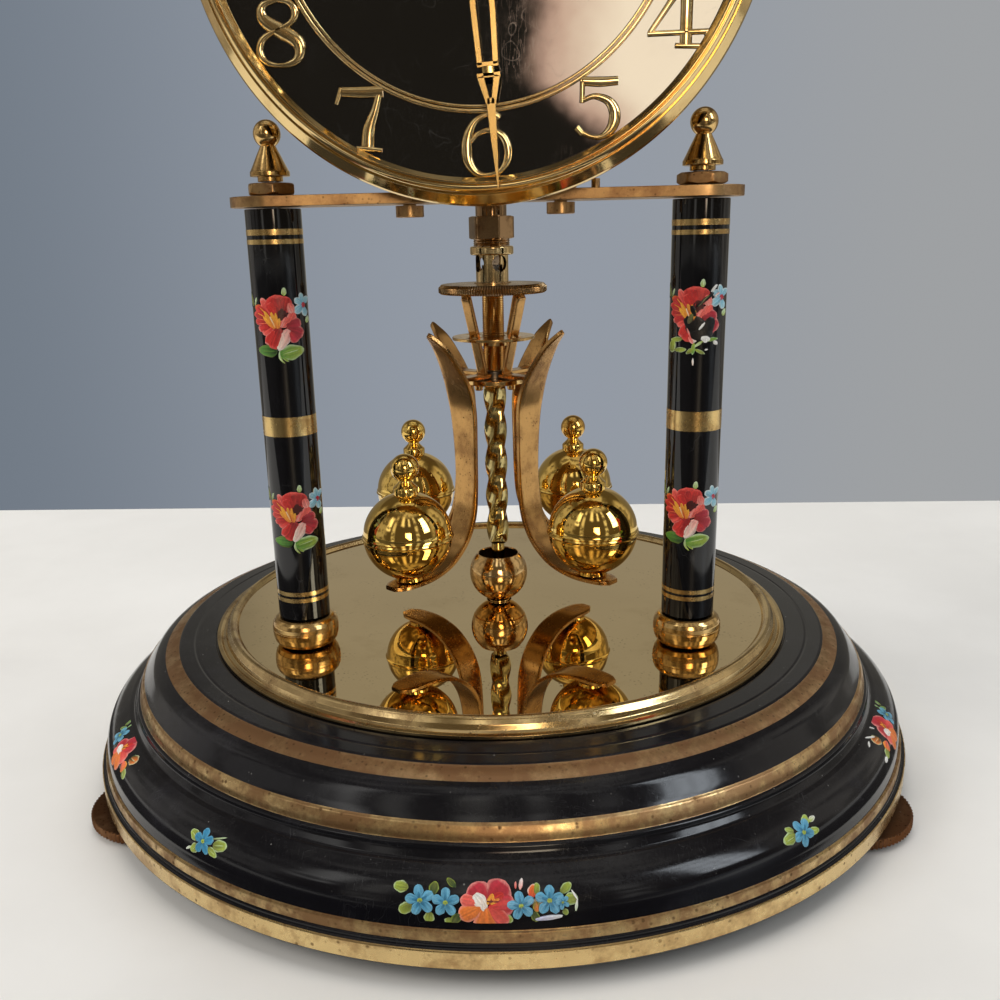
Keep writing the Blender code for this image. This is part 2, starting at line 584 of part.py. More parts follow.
def build_platform():
    bore = ROD_RADIUS + GAP
    joint = sqrt(PLATFORM_EAR_RADIUS ** 2 - PLATFORM_BAR_HALF_DEPTH ** 2)
    open_angle = atan2(PLATFORM_BAR_HALF_DEPTH, -joint)
    outline = []
    for side, turn in ((1, 0), (-1, pi)):
        for index in range(13):
            angle = turn - open_angle + 2 * open_angle * index / 12
            x = side * PILLAR_X + PLATFORM_EAR_RADIUS * cos(angle)
            outline.append((x, PLATFORM_EAR_RADIUS * sin(angle)))
    loops = [outline]
    loops += [circle(bore, HOLE_STEPS, (side * PILLAR_X, 0)) for side in (-1, 1)]
    loops += [circle(SCREW_RADIUS + GAP, HOLE_STEPS, (side * SEAT_X, 0)) for side in (-1, 1)]
    platform = finish("platform", extruded(loops, PLATFORM_BOTTOM, PLATFORM_TOP), "satin_brass", STAND,
                      (0, PILLAR_Y, 0))
    pin = cylinder_points(PLATFORM_PIN_RADIUS, PLATFORM_BOTTOM + PLATFORM_THICKNESS / 2,
                          PLATFORM_TOP + PLATFORM_PIN_HEIGHT)
    fuse(platform, moved(turned(pin, HOLE_STEPS), PLATFORM_PIN_X, 0))
    for side, name in ((-1, "left"), (1, "right")):
        top = PLATFORM_BOTTOM - GAP
        screw = [(0, top - SCREW_HEAD_HEIGHT), (SCREW_HEAD_RADIUS, top - SCREW_HEAD_HEIGHT),
                 (SCREW_HEAD_RADIUS, top), (SCREW_RADIUS, top), (SCREW_RADIUS, top + SCREW_LENGTH),
                 (0, top + SCREW_LENGTH)]
        finish("platform_screw_" + name, turned(screw, HOLE_STEPS), "satin_brass", STAND,
               (side * SEAT_X, PILLAR_Y, 0))


def arbor_places():
    small = BARREL_PITCH / BARREL_TEETH * SMALL_LEAVES
    second_leaf = SECOND_PITCH / SECOND_TEETH * SMALL_LEAVES
    third_leaf = THIRD_PITCH / THIRD_TEETH * SMALL_LEAVES
    train_leaf = TRAIN_PITCH / TRAIN_TEETH * TRAIN_LEAVES
    barrel = (0, -BARREL_DROP)
    reach = BARREL_PITCH + small
    second = (barrel[0] + reach * cos(SECOND_BEARING), barrel[1] + reach * sin(SECOND_BEARING))
    near, far = THIRD_PITCH + third_leaf, SECOND_PITCH + second_leaf
    distance = hypot(*second)
    along = (near ** 2 - far ** 2 + distance ** 2) / (2 * distance)
    aside = sqrt(near ** 2 - along ** 2)
    unit = (second[0] / distance, second[1] / distance)
    third = (unit[0] * along - unit[1] * aside, unit[1] * along + unit[0] * aside)
    link = TRAIN_PITCH + train_leaf
    fourth = (link * cos(FOURTH_BEARING), link * sin(FOURTH_BEARING))
    escape = (0, 2 * fourth[1])
    anchor = (0, escape[1] + ANCHOR_RISE)
    return {"barrel": barrel, "second": second, "third": third, "centre": (0, 0), "fourth": fourth,
            "escape": escape, "anchor": anchor, "minute": (0, -MOTION_DISTANCE)}


# Two plates, drilled alike, with three spacers; the seat screws enter the two lower ones
def build_frame(places):
    low, high = MOVEMENT_BOTTOM, MOVEMENT_TOP
    outline = [(MOVEMENT_HALF_WIDTH * x, low * y if y < 0 else high * y)
               for x, y in MOVEMENT_OUTLINE_SHARES]
    seat_y = -MOVEMENT_BOTTOM + SPACER_RADIUS + GAP
    spacers = {"left": (-SEAT_X, seat_y), "right": (SEAT_X, seat_y),
               "top": (SPACER_TOP_X, SPACER_TOP_Y)}
    spacer_bore = SPACER_TENON_RADIUS + GAP
    shared = [circle(spacer_bore, HOLE_STEPS, place) for place in spacers.values()]
    shared += [circle(PIVOT_BORE, HOLE_STEPS, places[key])
               for key in ("second", "third", "fourth", "escape")]
    front_top = PLATES_DEPTH
    back = [outline, circle(BARREL_ARBOR_RADIUS + GAP, HOLE_STEPS, places["barrel"]),
            circle(PIVOT_BORE, HOLE_STEPS, places["centre"]),
            circle(ARBOR_RADIUS + GAP, HOLE_STEPS, places["anchor"])] + shared
    back_plate = finish("back_plate", extruded(back, 0, PLATE_THICKNESS), "satin_brass", MOVEMENT)
    click_x = places["barrel"][0] + CLICK_DISTANCE * cos(CLICK_BEARING)
    click_y = places["barrel"][1] + CLICK_DISTANCE * sin(CLICK_BEARING)
    stud = cylinder_points(CLICK_STUD_RADIUS, -RATCHET_THICKNESS - GAP * 2, PLATE_THICKNESS / 2)
    fuse(back_plate, moved(turned(stud, HOLE_STEPS), click_x, click_y))
    front = [outline, circle(BARREL_ARBOR_RADIUS + GAP, HOLE_STEPS, places["barrel"]),
             circle(CANNON_PIPE_RADIUS + GAP, HOLE_STEPS, places["centre"]),
             circle(PIVOT_BORE, HOLE_STEPS, places["anchor"])] + shared
    front_low = front_top - PLATE_THICKNESS
    front_plate = finish("front_plate", extruded(front, front_low, front_top), "satin_brass", MOVEMENT)
    post = turned(cylinder_points(PIVOT_RADIUS, front_low + PLATE_THICKNESS / 2,
                                  MINUTE_WHEEL_BACK + WHEEL_THICKNESS * 2), HOLE_STEPS)
    fuse(front_plate, moved(post, *places["minute"]))
    for name, place in spacers.items():
        body_low, body_high = PLATE_THICKNESS + GAP, front_low - GAP
        tenon = GAP
        points = [(0, tenon), (SPACER_TENON_RADIUS, tenon), (SPACER_TENON_RADIUS, body_low),
                  (SPACER_RADIUS, body_low), (SPACER_RADIUS, body_high),
                  (SPACER_TENON_RADIUS, body_high), (SPACER_TENON_RADIUS, front_top - tenon),
                  (0, front_top - tenon)]
        spacer = finish("movement_pillar_" + name, turned(points, SMALL_STEPS), "satin_brass", MOVEMENT,
                        (*place, 0))
        if name != "top":
            screw_depth = BACK_PLATE_REAR_Y - PILLAR_Y
            bore = SCREW_RADIUS + GAP
            screw_top = PLATFORM_BOTTOM - GAP + SCREW_LENGTH - DIAL_HEIGHT - place[1] + GAP
            cut(spacer, box((-bore, -SPACER_RADIUS - OVERRUN, screw_depth - bore),
                            (bore, screw_top, screw_depth + bore)))


# Arbor with its wheel and pinion as one piece, axis along the local z axis
def wheel(name, place, outline, back, pinion=None, tiers=None, bore=0, material="satin_brass"):
    front = back + WHEEL_THICKNESS
    piece = finish(name, extruded([outline], back, front), material, MOVEMENT, (*place, 0))
    if pinion:
        leaves, low, high = pinion
        fuse(piece, extruded([leaves], low, high))
    fuse(piece, turned(tiers, HOLE_STEPS))
    return piece


def arbor_tiers(rear=GAP, front=PLATES_DEPTH - GAP, rear_radius=PIVOT_RADIUS):
    low, high = PLATE_THICKNESS + GAP, PLATES_DEPTH - PLATE_THICKNESS - GAP
    return [(0, rear), (rear_radius, rear), (rear_radius, low), (ARBOR_RADIUS, low),
            (ARBOR_RADIUS, high), (PIVOT_RADIUS, high), (PIVOT_RADIUS, front), (0, front)]


def build_train(places):
    small_leaf = BARREL_PITCH / BARREL_TEETH * SMALL_LEAVES
    second_leaf = SECOND_PITCH / SECOND_TEETH * SMALL_LEAVES
    third_leaf = THIRD_PITCH / THIRD_TEETH * SMALL_LEAVES
    train_leaf = TRAIN_PITCH / TRAIN_TEETH * TRAIN_LEAVES

    def bearing(first, other):
        return atan2(places[other][1] - places[first][1], places[other][0] - places[first][0])

    def span(back):
        return back - PINION_OVERHANG, back + WHEEL_THICKNESS + PINION_OVERHANG

    barrel_turn = 0.0
    second_turn = meshed(barrel_turn, BARREL_TEETH, bearing("barrel", "second"), SMALL_LEAVES)
    third_turn = meshed(second_turn, SECOND_TEETH, bearing("second", "third"), SMALL_LEAVES)
    centre_turn = meshed(third_turn, THIRD_TEETH, bearing("third", "centre"), SMALL_LEAVES)
    fourth_turn = meshed(centre_turn, TRAIN_TEETH, bearing("centre", "fourth"), TRAIN_LEAVES)
    escape_turn = meshed(fourth_turn, TRAIN_TEETH, bearing("fourth", "escape"), TRAIN_LEAVES)

    barrel_gear = gear(BARREL_TEETH, BARREL_PITCH, barrel_turn)
    gear_front = BARREL_WHEEL_BACK + WHEEL_THICKNESS * 1.5
    barrel = finish("mainspring_barrel", extruded([barrel_gear], BARREL_WHEEL_BACK, gear_front),
                    "satin_brass", MOVEMENT, (*places["barrel"], 0))
    drum = cylinder_points(DRUM_RADIUS, BARREL_WHEEL_BACK + WHEEL_THICKNESS, DRUM_FRONT)
    fuse(barrel, turned(drum, TURN_STEPS))
    cut(barrel, turned(cylinder_points(BARREL_ARBOR_RADIUS + GAP, 0, PLATES_DEPTH), HOLE_STEPS))
    second_gear = gear(SECOND_TEETH, SECOND_PITCH, second_turn)
    wheel("second_wheel", places["second"], second_gear, SECOND_WHEEL_BACK,
          (gear(SMALL_LEAVES, small_leaf, second_turn), BARREL_WHEEL_BACK - PINION_OVERHANG,
           BARREL_WHEEL_BACK + WHEEL_THICKNESS * 2), arbor_tiers())
    third_gear = gear(THIRD_TEETH, THIRD_PITCH, third_turn)
    wheel("third_wheel", places["third"], third_gear, THIRD_WHEEL_BACK,
          (gear(SMALL_LEAVES, second_leaf, third_turn), *span(SECOND_WHEEL_BACK)), arbor_tiers())
    centre_front = CANNON_BACK - GAP
    tiers = arbor_tiers(front=centre_front)
    centre_gear = gear(TRAIN_TEETH, TRAIN_PITCH, centre_turn)
    wheel("centre_wheel", places["centre"], centre_gear, SECOND_WHEEL_BACK,
          (gear(SMALL_LEAVES, third_leaf, centre_turn), *span(THIRD_WHEEL_BACK)), tiers)
    fourth_gear = gear(TRAIN_TEETH, TRAIN_PITCH, fourth_turn)
    wheel("fourth_wheel", places["fourth"], fourth_gear, FOURTH_WHEEL_BACK,
          (gear(TRAIN_LEAVES, train_leaf, fourth_turn), *span(SECOND_WHEEL_BACK)), arbor_tiers())
    teeth = []
    for index in range(ESCAPE_TEETH):
        angle = escape_turn + 2 * pi * index / ESCAPE_TEETH
        pitch = 2 * pi / ESCAPE_TEETH
        for share, height in ((0.0, 1.0), (0.18, 0.8), (0.75, 0.78)):
            points = ESCAPE_RADIUS * height
            teeth.append((points * cos(angle + share * pitch), points * sin(angle + share * pitch)))
    wheel("escape_wheel", places["escape"], teeth, ESCAPE_WHEEL_BACK,
          (gear(TRAIN_LEAVES, train_leaf, escape_turn), *span(FOURTH_WHEEL_BACK)), arbor_tiers())


# Arbor that the key turns, with its ratchet wheel behind the back plate, and the click
def build_winding(places):
    x, y = places["barrel"]
    arbor = [(0, -RATCHET_THICKNESS - GAP), (BARREL_ARBOR_RADIUS, -RATCHET_THICKNESS - GAP),
             (BARREL_ARBOR_RADIUS, PLATES_DEPTH - GAP), (0, PLATES_DEPTH - GAP)]
    teeth = []
    for index in range(RATCHET_TEETH):
        angle = CLICK_BEARING + 2 * pi * index / RATCHET_TEETH
        teeth.append((RATCHET_RADIUS * cos(angle), RATCHET_RADIUS * sin(angle)))
        root = RATCHET_RADIUS - RATCHET_DEPTH
        next_angle = angle + 2 * pi / RATCHET_TEETH
        teeth.append((root * cos(next_angle), root * sin(next_angle)))
    ratchet_low = -GAP - RATCHET_THICKNESS
    piece = finish("winding_arbor", turned(arbor, SMALL_STEPS), "steel", MOVEMENT, (x, y, 0))
    fuse(piece, extruded([teeth], ratchet_low + GAP / 3, -GAP))
    square = circle(WINDING_SQUARE * DIAGONAL, 4, turn=pi / 4)
    fuse(piece, extruded([square], -WINDING_REACH, GAP))

    # Click: a bored end, a tail and a nose in the tooth space that comes after the tip it faces
    pivot = (x + CLICK_DISTANCE * cos(CLICK_BEARING), y + CLICK_DISTANCE * sin(CLICK_BEARING))
    notch = CLICK_BEARING + CLICK_LEAD
    nose_radius = RATCHET_RADIUS - RATCHET_DEPTH / 2
    nose = (x + nose_radius * cos(notch) - pivot[0], y + nose_radius * sin(notch) - pivot[1])
    length = hypot(*nose)
    unit = (nose[0] / length, nose[1] / length)
    side = (-unit[1], unit[0])
    bore = CLICK_STUD_RADIUS + GAP
    ring = circle(CLICK_PIVOT_RADIUS, HOLE_STEPS)
    half = CLICK_WIDTH / 2
    low, high = ratchet_low, -GAP
    eye = extruded([ring, circle(bore, HOLE_STEPS)], low, high)
    click = finish("click", eye, "steel", MOVEMENT, (*pivot, 0))
    start = (bore + CLICK_PIVOT_RADIUS) / 2
    finger = [(unit[0] * start + side[0] * half, unit[1] * start + side[1] * half),
              (unit[0] * start - side[0] * half, unit[1] * start - side[1] * half),
              (unit[0] * length - side[0] * half / 2, unit[1] * length - side[1] * half / 2),
              (unit[0] * length, unit[1] * length)]
    fuse(click, extruded([finger], low + GAP / 3, high - GAP / 3))


# Anchor whose upright pin stands in the fork on the suspension strip
def build_escapement(places):
    x, y = places["anchor"]
    low, high = ESCAPE_WHEEL_BACK, ESCAPE_WHEEL_BACK + WHEEL_THICKNESS
    drop = ANCHOR_RISE
    inner = ESCAPE_RADIUS + PALLET_CLEARANCE
    outer = inner + PALLET_WIDTH
    left, right = [], []
    for index in range(7):
        angle = pi / 2 + PALLET_SPAN - 2 * PALLET_SPAN * index / 6
        left.append((inner * cos(angle), inner * sin(angle) - drop))
        right.append((outer * cos(angle), outer * sin(angle) - drop))
    body = left + right[::-1]
    anchor = finish("anchor", extruded([body], low, high), "steel", MOVEMENT, (x, y, 0))
    rear = -CRUTCH_REACH - CRUTCH_RADIUS * 2
    shoulder, front = PLATES_DEPTH - PLATE_THICKNESS - GAP, PLATES_DEPTH - GAP
    tiers = [(0, rear), (ARBOR_RADIUS, rear), (ARBOR_RADIUS, shoulder), (PIVOT_RADIUS, shoulder),
             (PIVOT_RADIUS, front), (0, front)]
    fuse(anchor, turned(tiers, HOLE_STEPS))
    pin = rotated(turned(cylinder_points(CRUTCH_RADIUS, 0, CRUTCH_HEIGHT), HOLE_STEPS), -pi / 2, "X")
    fuse(anchor, moved(pin, 0, 0, -CRUTCH_REACH))

    # Fork clamped on the strip, with two tines about the upright pin
    slot = CRUTCH_RADIUS + GAP
    outline = [(-slot - FORK_TINE, -FORK_LENGTH), (-slot, -FORK_LENGTH), (-slot, -FORK_HUB),
               (slot, -FORK_HUB), (slot, -FORK_LENGTH), (slot + FORK_TINE, -FORK_LENGTH),
               (FORK_HUB, FORK_HUB), (-FORK_HUB, FORK_HUB)]
    hole = circle(STRIP_SLOT, HOLE_STEPS)
    finish("fork", extruded([outline, hole], FORK_HEIGHT, FORK_HEIGHT + FORK_THICKNESS),
           "satin_brass", STAND)


def build_suspension():
    half = TOP_BLOCK_HALF
    slot = STRIP_SLOT
    top = TOP_BLOCK_BOTTOM + TOP_BLOCK_HEIGHT
    block = [circle(half * DIAGONAL, 4, turn=pi / 4), circle(slot, HOLE_STEPS)]
    finish("suspension_top_block", extruded(block, TOP_BLOCK_BOTTOM, top), "satin_brass", STAND)
    strip_bottom = BOTTOM_BLOCK_TOP + GAP
    finish("suspension_strip", box((-STRIP_HALF_WIDTH, -STRIP_HALF_THICKNESS, strip_bottom),
                                   (STRIP_HALF_WIDTH, STRIP_HALF_THICKNESS, top)), "steel", STAND)

    # Bracket: an upright leaf on the back plate and an arm around the top block
    wall = BACK_PLATE_REAR_Y + GAP
    leaf = box((-BRACKET_HALF_WIDTH, wall, BRACKET_BOTTOM),
               (BRACKET_HALF_WIDTH, wall + BRACKET_THICKNESS, top))
    bracket = finish("suspension_bracket", leaf, "satin_brass", STAND)
    reach = half + GAP + BRACKET_THICKNESS
    arm = box((-BRACKET_HALF_WIDTH, wall + BRACKET_THICKNESS / 2, TOP_BLOCK_BOTTOM + BRACKET_THICKNESS),
              (BRACKET_HALF_WIDTH, reach, top - BRACKET_THICKNESS))
    fuse(bracket, arm)
    socket = half + GAP
    cut(bracket, box((-socket, -socket, TOP_BLOCK_BOTTOM), (socket, socket, top)))
    pin_slot = ARBOR_RADIUS + GAP
    anchor_height = DIAL_HEIGHT + arbor_places()["anchor"][1]
    cut(bracket, box((-pin_slot, wall - OVERRUN, BRACKET_BOTTOM - OVERRUN),
                     (pin_slot, wall + BRACKET_THICKNESS * 2, anchor_height + pin_slot + ARBOR_RADIUS)))

    # Guard tube round the strip, ending in the six-sided collar and its threaded neck
    tube = [(GUARD_BORE, NECK_BOTTOM), (NECK_RADIUS, NECK_BOTTOM), (NECK_RADIUS, COLLAR_BOTTOM),
            (GUARD_RADIUS, COLLAR_BOTTOM), (GUARD_RADIUS, GUARD_TOP), (GUARD_BORE, GUARD_TOP)]
    guide = finish("suspension_guard", turned(tube, SMALL_STEPS), "aged_brass", STAND)
    collar = [circle(COLLAR_CORNER, 6, turn=radians(20)), circle(GUARD_RADIUS - GAP, SMALL_STEPS)]
    fuse(guide, extruded(collar, COLLAR_BOTTOM - GAP, COLLAR_TOP))
    stay = box((-GUARD_BRACKET_HALF, wall, GUARD_BRACKET_HEIGHT),
               (GUARD_BRACKET_HALF, -GUARD_BORE - GAP, GUARD_BRACKET_HEIGHT + GUARD_BRACKET_HALF * 2))
    fuse(guide, stay)


def build_dial(places):
    profile = tube_points(DIAL_HOLE, DIAL_RADIUS, DIAL_BACK, DIAL_BACK + DIAL_THICKNESS)
    finish("dial", turned(profile, RIM_STEPS), "black_enamel", MOVEMENT)
    ring = shaped(BEZEL_SHARES, BEZEL_RADIUS, BEZEL_BACK, BEZEL_BACK + BEZEL_DEPTH)
    finish("bezel", turned(ring, RIM_STEPS), "polished_brass", MOVEMENT)

    cannon_turn = 0.0
    cannon_pitch = MOTION_DISTANCE * CANNON_LEAVES / (CANNON_LEAVES + MINUTE_TEETH)
    minute_pitch = MOTION_DISTANCE - cannon_pitch
    leaf_pitch = MOTION_DISTANCE * MINUTE_LEAVES / (MINUTE_LEAVES + HOUR_TEETH)
    hour_pitch = MOTION_DISTANCE - leaf_pitch
    minute_turn = meshed(cannon_turn, CANNON_LEAVES, -pi / 2, MINUTE_TEETH)
    hour_turn = meshed(minute_turn, MINUTE_LEAVES, pi / 2, HOUR_TEETH)
    cannon = finish("cannon_pinion", extruded([gear(CANNON_LEAVES, cannon_pitch, cannon_turn)],
                    CANNON_BACK, MINUTE_WHEEL_BACK + WHEEL_THICKNESS), "steel", MOVEMENT)
    nut_top = MINUTE_HAND_BACK + HAND_THICKNESS + NUT_THICKNESS
    fuse(cannon, turned(cylinder_points(CANNON_PIPE_RADIUS, CANNON_BACK + GAP, nut_top), HOLE_STEPS))
    front = MINUTE_WHEEL_BACK + WHEEL_THICKNESS
    minute = finish("minute_wheel", extruded([gear(MINUTE_TEETH, minute_pitch, minute_turn)],
                    MINUTE_WHEEL_BACK, MINUTE_WHEEL_BACK + WHEEL_THICKNESS), "satin_brass", MOVEMENT,
                    (*places["minute"], 0))
    fuse(minute, extruded([gear(MINUTE_LEAVES, leaf_pitch, minute_turn)], front - GAP,
                          HOUR_WHEEL_BACK + WHEEL_THICKNESS + GAP))
    cut(minute, turned(cylinder_points(PIVOT_BORE, MINUTE_WHEEL_BACK - OVERRUN, DIAL_BACK), HOLE_STEPS))
    hour_low = HOUR_WHEEL_BACK
    hour = finish("hour_wheel", extruded([gear(HOUR_TEETH, hour_pitch, hour_turn)],
                  hour_low, hour_low + WHEEL_THICKNESS), "satin_brass", MOVEMENT)
    hand_front = HOUR_HAND_BACK + HAND_THICKNESS
    fuse(hour, turned(cylinder_points(HOUR_PIPE_RADIUS, hour_low + GAP, hand_front), SMALL_STEPS))
    pipe_bore = cylinder_points(HOUR_PIPE_BORE, hour_low - OVERRUN, hand_front + OVERRUN)
    cut(hour, turned(pipe_bore, HOLE_STEPS))
    for name, length, back, bore in (
            ("hour_hand", MINUTE_HAND_LENGTH * HOUR_HAND_SCALE_SHARE, HOUR_HAND_BACK,
             HOUR_PIPE_RADIUS + GAP),
            ("minute_hand", MINUTE_HAND_LENGTH, MINUTE_HAND_BACK, CANNON_PIPE_RADIUS + GAP)):
        outline = [(length * x, length * y) for x, y in MINUTE_HAND_OUTLINE_SHARES]
        outline += [(-a, b) for a, b in outline[::-1]]
        half_window = [(length * x, length * y) for x, y in HAND_WINDOW_SHARES]
        window = half_window + [(-a, b) for a, b in half_window[::-1]]
        blade = extruded([outline, window], back, back + HAND_THICKNESS)
        hand = finish(name, blade, "polished_brass", MOVEMENT)
        boss = extruded([circle(HAND_BOSS, SMALL_STEPS)], back + GAP / 3,
                        back + HAND_THICKNESS - GAP / 3)
        fuse(hand, boss)
        cut(hand, turned(cylinder_points(bore, back - OVERRUN, back + OVERRUN), HOLE_STEPS))
        hand.rotation_euler = (0, 0, MINUTE_HAND_REST if name == "minute_hand" else HOUR_HAND_REST)
        for change in hand.modifiers:
            change.object.rotation_euler = hand.rotation_euler
    nut_back = MINUTE_HAND_BACK + HAND_THICKNESS + GAP
    nut = tube_points(CANNON_PIPE_RADIUS + GAP, NUT_RADIUS, nut_back, nut_back + NUT_THICKNESS)
    finish("hand_nut", turned(nut, HOLE_STEPS), "polished_brass", MOVEMENT)


# Arm outline: offset the centre line by half the thickness and give each station its own width
def arm_mesh():
    stations = [(ARM_REACH * r, ARM_FLOOR + (ARM_TOP - ARM_FLOOR) * h) for r, h in ARM_LINE_SHARES]
    half = ARM_THICKNESS / 2
    bm = bmesh.new()
    rings = []
    for index, (r, h) in enumerate(stations):
        before = stations[max(index - 1, 0)]
        after = stations[min(index + 1, len(stations) - 1)]
        run, rise = after[0] - before[0], after[1] - before[1]
        length = hypot(run, rise)
        normal = (-rise / length, run / length)
        width = ARM_HALF_WIDTH * ARM_WIDTH_SHARES[index]
        corners = ((1, -width), (1, width), (-1, width), (-1, -width))
        rings.append([bm.verts.new((r + normal[0] * half * side, y, h + normal[1] * half * side))
                      for side, y in corners])
    for lower, upper in zip(rings, rings[1:]):
        for index in range(4):
            bm.faces.new((lower[index - 1], lower[index], upper[index], upper[index - 1]))
    bm.faces.new(rings[0])
    bm.faces.new(rings[-1])
    return bm


def build_pendulum():
    flange = [(TUBE_BORE, TUBE_BOTTOM), (TUBE_RADIUS, TUBE_BOTTOM), (TUBE_RADIUS, TUBE_FLANGE_BOTTOM),
              (TUBE_FLANGE_RADIUS, TUBE_FLANGE_BOTTOM), (TUBE_FLANGE_RADIUS, TUBE_FLANGE_TOP),
              (TUBE_BORE, TUBE_FLANGE_TOP)]
    tube = finish("pendulum_tube", turned(flange, TURN_STEPS), "polished_brass", PENDULUM)
    hole = turned(cylinder_points(CROSS_HOLE_RADIUS, -TUBE_RADIUS * 2, TUBE_RADIUS * 2), HOLE_STEPS)
    hole = rotated(rotated(hole, pi / 2, "X"), CROSS_HOLE_BEARING - pi / 2 - PENDULUM_REST, "Z")
    cut(tube, moved(hole, 0, 0, CROSS_HOLE_HEIGHT))
    half = BOTTOM_BLOCK_HALF
    finish("suspension_bottom_block", box((-half, -half, BOTTOM_BLOCK_TOP - BOTTOM_BLOCK_HEIGHT),
                                          (half, half, BOTTOM_BLOCK_TOP)), "satin_brass", PENDULUM)

    edge = star(DISC_KNURLS, DISC_RADIUS, DISC_RADIUS - KNURL_DEPTH, 0)
    knurled = extruded([edge, circle(SLEEVE_BORE, HOLE_STEPS)], DISC_BOTTOM, DISC_TOP)
    disc = finish("regulating_disc", knurled,
                  "aged_brass", PENDULUM)
    sleeve = tube_points(SLEEVE_BORE + GAP / 3, SLEEVE_RADIUS, SLEEVE_BOTTOM, DISC_BOTTOM + GAP)
    fuse(disc, turned(sleeve, SMALL_STEPS))

    centre = (SLOT_INNER + SLOT_OUTER) / 2
    span = (SLOT_OUTER - SLOT_INNER) / 2
    loops = [circle(RING_RADIUS, TURN_STEPS), circle(SLEEVE_RADIUS + GAP, HOLE_STEPS)]
    for index in range(4):
        angle = pi / 4 + index * pi / 2
        corners = [(centre + a * span, b * SLOT_HALF) for a, b in ((-1, -1), (1, -1), (1, 1), (-1, 1))]
        loops.append([(a * cos(angle) - b * sin(angle), a * sin(angle) + b * cos(angle))
                      for a, b in corners])
    finish("guide_ring", extruded(loops, RING_BOTTOM, RING_BOTTOM + RING_THICKNESS),
           "satin_brass", PENDULUM)

    # Hub: a disc that the arms sit on, and the spindle that the sleeve turns on
    spindle_top = BOTTOM_BLOCK_TOP - BOTTOM_BLOCK_HEIGHT - GAP
    hub = [(0, HUB_BOTTOM), (HUB_RADIUS, HUB_BOTTOM), (HUB_RADIUS, HUB_TOP), (SPINDLE_RADIUS, HUB_TOP),
           (SPINDLE_RADIUS, spindle_top), (0, spindle_top)]
    finish("pendulum_hub", turned(hub, TURN_STEPS), "satin_brass", PENDULUM)

    twist_top = HUB_BOTTOM - GAP
    bm = bmesh.new()
    sections = round((twist_top - TWIST_BOTTOM) / TWIST_STEP)
    rings = []
    for index in range(sections + 1):
        height = TWIST_BOTTOM + (twist_top - TWIST_BOTTOM) * index / sections
        turn = pi / 2 * (height - TWIST_BOTTOM) / TWIST_LEAD
        rings.append([bm.verts.new((x, y, height))
                      for x, y in circle(TWIST_SIDE / DIAGONAL, 4, turn=turn)])
    for lower, upper in zip(rings, rings[1:]):
        for index in range(4):
            bm.faces.new((lower[index - 1], lower[index], upper[index], upper[index - 1]))
    bm.faces.new(rings[0])
    bm.faces.new(rings[-1])
    bmesh.ops.triangulate(bm, faces=bm.faces)
    rod = finish("twisted_rod", bm, "satin_brass", PENDULUM)
    fuse(rod, turned(cylinder_points(PIN_RADIUS, PIN_BOTTOM, TWIST_BOTTOM + GAP), HOLE_STEPS))

    # Each arm rocks on the hub's edge; its origin is on that pivot
    pivot_height = HUB_TOP + GAP / 2
    ball_low = BALL_CENTRE - sqrt(BALL_RADIUS ** 2 - BALL_COLLAR_RADIUS ** 2)
    seam = sqrt(BALL_RADIUS ** 2 - SEAM_HALF ** 2)
    ball = [(0, BALL_SEAT), (BALL_COLLAR_RADIUS, BALL_SEAT), (BALL_COLLAR_RADIUS, ball_low)]
    for angle in (-50, -28):
        ball.append((BALL_RADIUS * cos(radians(angle)), BALL_CENTRE + BALL_RADIUS * sin(radians(angle))))
    ball += [(seam, BALL_CENTRE - SEAM_HALF), (BALL_RADIUS + SEAM_PROUD, BALL_CENTRE - SEAM_HALF),
             (BALL_RADIUS + SEAM_PROUD, BALL_CENTRE + SEAM_HALF), (seam, BALL_CENTRE + SEAM_HALF)]
    for angle in (28, 52):
        ball.append((BALL_RADIUS * cos(radians(angle)), BALL_CENTRE + BALL_RADIUS * sin(radians(angle))))
    neck = sqrt(BALL_RADIUS ** 2 - (KNOB_RADIUS * KNOB_SHARES[0][0]) ** 2)
    ball += shaped(KNOB_SHARES, KNOB_RADIUS, BALL_CENTRE + neck, KNOB_TOP)
    lug_low, lug_high = HUB_TOP + GAP, HUB_TOP + GAP + LUG_THICKNESS
    for index in range(4):
        angle = pi / 4 + index * pi / 2
        pivot = empty("arm_pivot_" + str(index + 1), PENDULUM,
                      (HUB_RADIUS * cos(angle), HUB_RADIUS * sin(angle), pivot_height), (0, 0, angle))
        arm = finish("arm_" + str(index + 1), moved(arm_mesh(), -HUB_RADIUS, 0, -pivot_height),
                     "satin_brass", pivot)
        foot = PRONG_FOOT - PRONG_HALF
        head = PRONG_HEAD - PRONG_HALF
        outline = [(foot, lug_low), (LUG_REACH, lug_low), (LUG_REACH, lug_high),
                   (PRONG_FOOT + PRONG_HALF, lug_high), (PRONG_HEAD + PRONG_HALF, PRONG_TOP),
                   (head, PRONG_TOP)]
        prong = rotated(extruded([outline], -PRONG_HALF, PRONG_HALF), pi / 2, "X")
        fuse(arm, moved(prong, -HUB_RADIUS, 0, -pivot_height))
        finish("ball_" + str(index + 1), turned(ball, BALL_STEPS), "polished_brass", pivot,
               (BALL_ORBIT - HUB_RADIUS, 0, -pivot_height))


